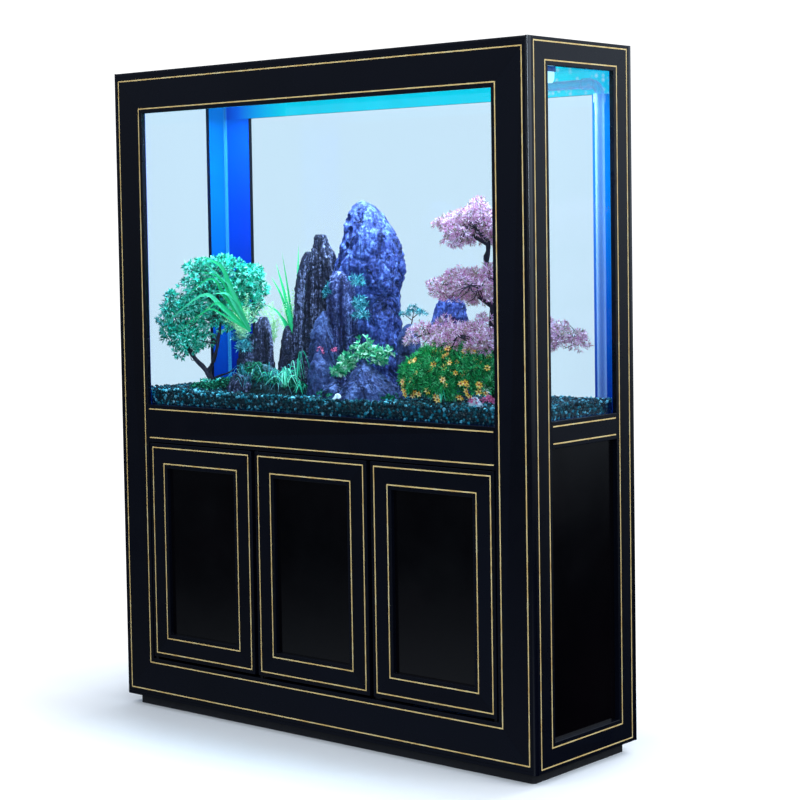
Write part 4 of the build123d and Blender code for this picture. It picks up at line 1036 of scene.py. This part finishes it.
def add_pink_bonsai():
    """Cloud-pruned pink tree with three flat heads on a twisting dark trunk."""
    chance = random.Random(8)
    wood = Shape()
    trunk = ((372, 0, 736), (376, 0, 800), (378, 2, 850), (366, 0, 900), (372, -2, 950), (366, 0, 1000),
             (352, 0, 1036), (358, 0, 1070), (350, 0, 1104))
    add_tube(wood, trunk, 11, 4, 14, 50, 0.5, 4)
    reaches = (
        ((377, 0, 842), (330, -10, 872), (270, -24, 880), (210, -24, 884)),
        ((376, 2, 846), (430, 20, 872), (490, 40, 880), (540, 50, 880)),
        ((370, 0, 940), (330, -6, 966), (280, -10, 980), (240, -4, 984)),
        ((370, 0, 946), (400, 10, 976), (440, 16, 984)),
        ((355, 0, 1074), (316, -6, 1096), (280, -8, 1110), (256, -6, 1116)),
        ((356, 0, 1080), (390, 6, 1106), (424, 8, 1118)),
        ((360, 0, 870), (350, -50, 884), (340, -86, 886)),
        ((360, 0, 870), (380, 50, 884), (390, 80, 886)),
        ((368, 0, 960), (366, -44, 984), (364, -70, 990)),
        ((356, 0, 1084), (352, -36, 1110), (350, -60, 1118)),
    )
    for index, knots in enumerate(reaches):
        add_tube(wood, knots, 4.6, 1.6, 10, 16, 0.5, 10 + index)
    top = (
        (352, -4, 1122, 62, 52), (298, -10, 1118, 52, 50), (404, 4, 1110, 52, 40), (350, -54, 1102, 46, 34),
        (274, -10, 1098, 34, 32), (356, 46, 1108, 48, 36), (310, 30, 1106, 44, 34), (320, -40, 1118, 44, 40),
    )
    middle = (
        (360, 0, 988, 66, 44), (292, -10, 984, 58, 36), (430, 8, 982, 52, 36), (350, -56, 976, 50, 32),
        (366, 52, 980, 50, 32), (256, 0, 976, 36, 28), (310, 34, 980, 48, 32),
    )
    low = (
        (360, 0, 884, 70, 40), (280, -20, 886, 60, 36), (214, -24, 880, 44, 30), (450, 20, 884, 62, 36),
        (524, 44, 882, 42, 32), (330, -74, 878, 54, 30), (400, -64, 878, 50, 30), (380, 70, 880, 56, 32),
        (300, 50, 880, 54, 32), (460, 78, 880, 46, 30),
    )
    leaves = Shape()
    roots = [knots[-1] for knots in reaches] + [knots[-2] for knots in reaches]
    for lobes, count in ((top, 2700), (middle, 2200), (low, 3000)):
        twigs_to(wood, lobes, roots, chance, 90, 1.7)
        tier = clumps(lobes, count=count // 22, size=15, chance=chance, low=-0.8)
        add_cloud(
            leaves, tier, count, chance, leaves=5, length=9.5, width=2.3, flat=0.4, inner=0.5, reach=1.14
        )
    add_piece("pink_bonsai_wood", wood, DARK_BARK)
    add_piece("pink_bonsai_leaves", leaves, PINK_LEAF, "bonsai_pink", smooth=False)


def add_star(shape, place, way, size, chance, petals=6, width=0.36):
    """An open star flower."""
    first, second = sideways(way)
    turn = chance.uniform(0, math.tau)
    for index in range(petals):
        angle = turn + math.tau * index / petals
        out = math.cos(angle) * first + math.sin(angle) * second
        add_leaf(shape, place, (out + way * 0.35).normalized(), way, size, size * width, 0.3)


def add_flower_bush():
    """Fine-needled round bush with open yellow flowers with red hearts and tips."""
    chance = random.Random(21)
    lobes = (
        (300, -80, 804, 66, 54), (250, -88, 794, 42, 42), (350, -76, 808, 48, 48), (294, -100, 784, 50, 38),
        (262, -60, 828, 38, 34), (322, -54, 834, 42, 34), (388, -66, 798, 36, 44), (222, -84, 778, 24, 24),
        (372, -56, 830, 30, 28), (232, -80, 812, 18, 20), (280, -84, 848, 20, 18),
    )
    leaves = Shape()
    dome = clumps(lobes, count=120, size=17, chance=chance, low=-0.6)
    add_cloud(leaves, dome, 4000, chance, leaves=6, length=14, width=2.0, flat=0.3, inner=0.4, reach=1.12)
    add_piece("bush_leaves", leaves, BUSH_LEAF, "flower_bush", smooth=False)
    petals, tips = Shape(), Shape()
    for _ in range(120):
        x, y, z, radius, height = chance.choice(lobes)
        way = random_way(chance, 0.1)
        if way.y > 0.3:
            way.y = -way.y
        front = max(y + way.y * radius * 1.08, BUSH_FRONT)
        place = Vector((x + way.x * radius * 1.08, front, z + way.z * height * 1.06))
        if place.z < 754:
            continue
        out = (way + Vector((0.3, -0.7, 0.2))).normalized()
        size = chance.uniform(7, 10)
        add_star(tips, place - out * 0.4, out, size, chance, 6, 0.22)
        add_star(petals, place + out * 0.6, out, size, chance, 6, 0.44)
        add_star(tips, place + out * 1.8, out, size * 0.42, chance, 5, 0.5)
    add_piece("bush_flowers", petals, PETAL, smooth=False)
    add_piece("bush_flower_tips", tips, PETAL_RED, smooth=False)


def add_frond(shape, knots, chance, length, width):
    """A feathery frond: a stem with pairs of fine leaflets that shorten towards its tip."""
    count = 16
    path = curve_points(knots, count)
    add_tube(shape, knots, 0.7, 0.3, 5, 8)
    for index in range(2, count):
        ahead = (path[min(index + 1, count - 1)] - path[index - 1]).normalized()
        first, second = sideways(ahead)
        out = (first * chance.uniform(0.7, 1.0) + second * chance.uniform(-0.6, 0.6)).normalized()
        size = length * (1.1 - 0.7 * index / count) * chance.uniform(0.8, 1.2)
        for side in (-1, 1):
            add_leaf(shape, path[index], (ahead * 0.6 + out * side).normalized(), second, size, width)


def add_grasses():
    """Long blades behind the stump and by the tall slate, and low tufts in front."""
    chance = random.Random(3)
    blades = Shape()
    root = Vector((-296, -52, 880))
    for tip, rise, width in (
        ((-380, -122, 1054), 64, 13), ((-392, -124, 1022), 54, 7), ((-492, -130, 903), 74, 12),
        ((-446, -128, 950), 88, 8), ((-330, -116, 1010), 40, 9), ((-418, -128, 892), 60, 8),
        ((-470, -132, 868), 56, 5), ((-356, -110, 968), 44, 10), ((-300, -110, 960), 26, 8),
        ((-404, -124, 1056), 46, 5),
    ):
        tip = Vector(tip)
        middle = (root + tip) / 2 + Vector((0, -14, rise))
        add_blade(blades, (root, root.lerp(middle, 0.55) + Vector((0, -6, 10)), middle, tip), width)
    root = Vector((-226, 26, 830))
    for tip, rise, width in (
        ((-290, 30, 1036), 18, 9), ((-226, 40, 1076), 8, 10), ((-212, 46, 1062), 6, 8),
        ((-316, 40, 1004), 30, 7), ((-252, 20, 960), 12, 9), ((-196, 30, 950), 20, 11),
        ((-288, 50, 962), 24, 7), ((-180, 40, 1018), 16, 8), ((-262, 10, 920), 14, 10),
        ((-270, 30, 1060), 14, 6), ((-330, 30, 940), 30, 6),
    ):
        tip = Vector(tip)
        middle = (root + tip) / 2 + Vector((0, 0, rise))
        add_blade(blades, (root, middle, tip), width)
    add_piece("tall_grass", blades, BLADE, smooth=True)

    ferns = Shape()
    for root, spread, rise, count, depth in (
        ((-330, -40, 850), 62, 116, 22, 30), ((-262, 40, 830), 46, 150, 13, 20),
        ((-300, 30, 850), 50, 100, 12, 20), ((-238, 44, 800), 22, 110, 9, 16),
    ):
        root = Vector(root)
        for _ in range(count):
            out, back = chance.uniform(-1, 0.7) * spread, chance.uniform(-1, 1) * depth
            tip = root + Vector((out, back, rise * chance.uniform(0.4, 1)))
            middle = root.lerp(tip, 0.5) + Vector((0, 0, 14))
            add_frond(ferns, (root, middle, tip), chance, 11, 2.6)
    add_piece("pale_ferns", ferns, PALE_LEAF, smooth=False)

    tufts = Shape()
    for place, count, reach, rise in (
        ((-118, -124, 764), 18, 66, 32), ((-176, -116, 768), 9, 46, 26), ((-96, -112, 776), 6, 40, 50),
        ((-230, -110, 784), 7, 42, 16), ((-62, -130, 752), 7, 34, 22), ((330, -130, 750), 7, 24, 24),
        ((-122, -118, 784), 8, 52, 22),
    ):
        place = Vector(place)
        for _ in range(count):
            angle = chance.uniform(0, math.tau)
            out = Vector((math.cos(angle), math.sin(angle) * 0.7, 0)) * reach * chance.uniform(0.5, 1)
            high = Vector((0, 0, rise * chance.uniform(0.6, 1.2)))
            tip = place + out * 1.1 + high * 0.1
            tip.y = max(tip.y, TUFT_FRONT)
            facing = (chance.uniform(-0.8, 0.8), -1, 0.6)
            middle = place + out * 0.45 + high * 1.15
            add_blade(tufts, (place, middle, tip), chance.uniform(1.4, 2.3), facing, 10)
    add_piece("low_grass", tufts, TUFT, smooth=True)

    vines = Shape()
    for _ in range(70):
        start = Vector((chance.uniform(-280, -130), chance.uniform(-130, -90), chance.uniform(752, 790)))
        step = Vector((chance.uniform(-50, 50), chance.uniform(-14, 10), 0))
        middle = start + step * 0.5 + Vector((0, 0, chance.uniform(8, 30)))
        finish = start + step + Vector((0, 0, chance.uniform(-20, 4)))
        finish.y = max(finish.y, PLANT_FRONT)
        finish.z = max(finish.z, 746)
        add_tube(vines, (start, middle, finish), 0.6, 0.4, 5, 9)
    add_piece("moss_vines", vines, TEAL_LEAF)


def scatter(name, spots, material, chance, leaves, length, width):
    """Small plants, each (place, radius, height, sprig count)."""
    shape = Shape()
    for place, radius, height, count in spots:
        for _ in range(count):
            way = random_way(chance, 0.5)
            reach = chance.uniform(0.3, 1)
            spot = Vector(place) + Vector((way.x * radius, way.y * radius * 0.7, abs(way.z) * height)) * reach
            spot.y = max(spot.y, PLANT_FRONT)
            add_sprig(shape, spot, way, chance, leaves, length, width)
    return add_piece(name, shape, material, smooth=False)


def add_small_plants():
    """Tufts on the stones, a lime-leaved plant, moss along the foot and a small far tree."""
    chance = random.Random(14)
    scatter(
        "teal_tufts",
        (((28, -46, 992), 20, 22, 26), ((-50, -50, 962), 14, 30, 26), ((50, -62, 944), 18, 22, 30),
         ((56, -66, 920), 20, 18, 26), ((-338, -40, 856), 30, 24, 60), ((-318, -50, 838), 26, 20, 40)),
        TEAL_LEAF, chance, 6, 12, 2.4,
    )
    scatter(
        "lime_plant",
        (((30, -84, 806), 24, 34, 34), ((78, -80, 834), 38, 44, 60), ((120, -80, 822), 32, 34, 34),
         ((8, -88, 796), 18, 18, 16), ((150, -84, 840), 20, 20, 14)),
        LIME_LEAF, chance, 5, 13, 6,
    )
    scatter(
        "moss",
        (((-240, -96, 792), 46, 22, 150), ((-196, -100, 776), 46, 16, 130), ((-150, -100, 770), 50, 16, 120),
         ((-390, -90, 752), 60, 12, 130), ((-330, -96, 760), 34, 16, 90), ((-110, -104, 764), 36, 12, 70),
         ((10, -110, 752), 46, 10, 70), ((160, -110, 752), 40, 10, 60), ((-450, -70, 746), 40, 10, 60)),
        MOSS, chance, 5, 6, 4,
    )
    scatter(
        "pink_ground",
        (((-30, -104, 842), 10, 12, 10), ((6, -96, 846), 12, 8, 10), ((448, -124, 756), 20, 14, 40),
         ((418, -136, 752), 14, 10, 20)),
        PETAL_PINK, chance, 5, 5, 3,
    )
    wood = Shape()
    for knots, start, end in (
        (((104, 44, 890), (108, 46, 910), (112, 46, 928)), 1.6, 0.8),
        (((108, 46, 908), (92, 44, 918), (84, 44, 924)), 1.1, 0.5),
        (((110, 46, 914), (126, 46, 924), (134, 46, 926)), 1.1, 0.5),
    ):
        add_tube(wood, knots, start, end, 6, 8)
    add_piece("far_tree_wood", wood, DARK_BARK)
    scatter(
        "far_tree_leaves",
        (((112, 46, 928), 20, 16, 36), ((88, 44, 920), 14, 10, 22), ((134, 46, 922), 14, 10, 22)),
        TEAL_LEAF, chance, 5, 7, 2.2,
    )


add_green_bonsai()
add_pink_bonsai()
add_flower_bush()
add_grasses()
add_small_plants()

# ---- Studio ------------------------------------------------------------------------------
def add_floor():
    """A pale floor that fades into the white surround away from the object."""
    s = Surface("studio_floor")
    s.colour(s.ramp(s.noise(1.5, 3), ((0.3, (0.90, 0.91, 0.93)), (0.7, (0.94, 0.95, 0.96)))))
    s.rough(s.levels(s.noise(4, 3), 0.6, 0.7))
    away = s.tree.nodes.new("ShaderNodeVectorMath")
    away.operation = "LENGTH"
    s.feed(away.inputs[0], s.stretched((0.75, 1.4, 0)))
    fade = s.levels(away.outputs["Value"], 0, 1, 0.45, 1.1, "SMOOTHSTEP")
    s.show_mix(fade, s.shader, s.node("ShaderNodeBsdfTransparent"))
    mesh = bpy.data.meshes.new("floor")
    corners = ((-3, -3, 0), (3, -3, 0), (3, 3, 0), (-3, 3, 0))
    mesh.from_pydata(corners, [], [(0, 1, 2, 3)])
    mesh.materials.append(s.material)
    floor = bpy.data.objects.new("floor", mesh)
    bpy.context.collection.objects.link(floor)
    floor.visible_glossy = False
    floor.visible_diffuse = False


def add_world():
    """Studio surround: white behind the object, and in its gloss a glow above the right rear only."""
    world = bpy.data.worlds.new("studio")
    bpy.context.scene.world = world
    world.use_nodes = True
    tree = world.node_tree
    tree.nodes.clear()
    w = Shading(tree, tree.nodes.new("ShaderNodeOutputWorld"))
    ray = w.node("ShaderNodeTexCoord").outputs["Generated"]
    right_rear = (0.64, 0.75, 0.16)
    toward = w.combined("DOT_PRODUCT", ray, right_rear, "ShaderNodeVectorMath").outputs["Value"]
    height = w.node("ShaderNodeSeparateXYZ", Vector=ray).outputs["Z"]
    side = w.levels(toward, 0.25, 1.0, -0.6, 0.6, "SMOOTHSTEP")
    up = w.levels(height, 0.0, 1.0, -0.16, 0.09, "SMOOTHSTEP")
    before = w.levels(toward, 1.0, 0.0, -0.8, 0.1, "SMOOTHSTEP")
    ground = w.levels(height, 0.22, 0.0, -0.26, -0.16, "SMOOTHSTEP")
    glow = w.combined("ADD", w.product(side, up), w.product(before, ground)).outputs[0]
    unseen = w.node("ShaderNodeBackground", Color=(0.72, 0.84, 1.0, 1), Strength=glow)
    seen = w.node("ShaderNodeBackground", Color=(1.0, 1.0, 1.0, 1), Strength=1.2)
    w.show_mix(w.node("ShaderNodeLightPath").outputs["Is Camera Ray"], unseen, seen)


def add_area(name, place, target, size, power, colour, in_gloss):
    """A soft rectangular lamp that shines at a target; in_gloss says whether gloss shows it."""
    data = bpy.data.lights.new(name, "AREA")
    data.shape = "RECTANGLE"
    data.size, data.size_y = size
    data.energy = power
    data.color = colour
    lamp = bpy.data.objects.new(name, data)
    bpy.context.collection.objects.link(lamp)
    lamp.location = place
    lamp.rotation_euler = (Vector(target) - Vector(place)).to_track_quat("-Z", "Y").to_euler()
    lamp.visible_glossy = in_gloss


add_floor()
add_world()
diffuser_low, diffuser_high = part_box("light_diffuser")
under_diffuser = (0, 0, diffuser_low[2] - 0.012)
diffuser_length = diffuser_high[0] - diffuser_low[0]
for lamp_values in (
    ("key", (-0.6, -4.2, 5.0), (0, 0, 0.8), (2.5, 2.5), 95, (1.0, 0.97, 0.93), True),
    ("fill", (4.4, 0.4, 3.6), (0, 0, 0.8), (2.5, 2.5), 110, (0.9, 0.95, 1.0), False),
    ("back", (0.5, 4.2, 3.6), (0, 0, 0.8), (3.0, 2.0), 150, (0.95, 0.97, 1.0), False),
    ("bead_strip", (3.5, -3.0, 1.9), (0.6, -0.18, 1.3), (0.4, 1.6), 45, (0.72, 0.86, 1.0), True),
    ("tank_front", (1.0, -3.4, 1.3), (0, 0, 1.0), (1.6, 0.6), 42, (0.66, 0.82, 1.0), False),
    ("tank_lamp", under_diffuser, (0, 0, 0), (diffuser_length, 0.25), 28, (0.66, 0.86, 1.0), False),
):
    add_area(*lamp_values)
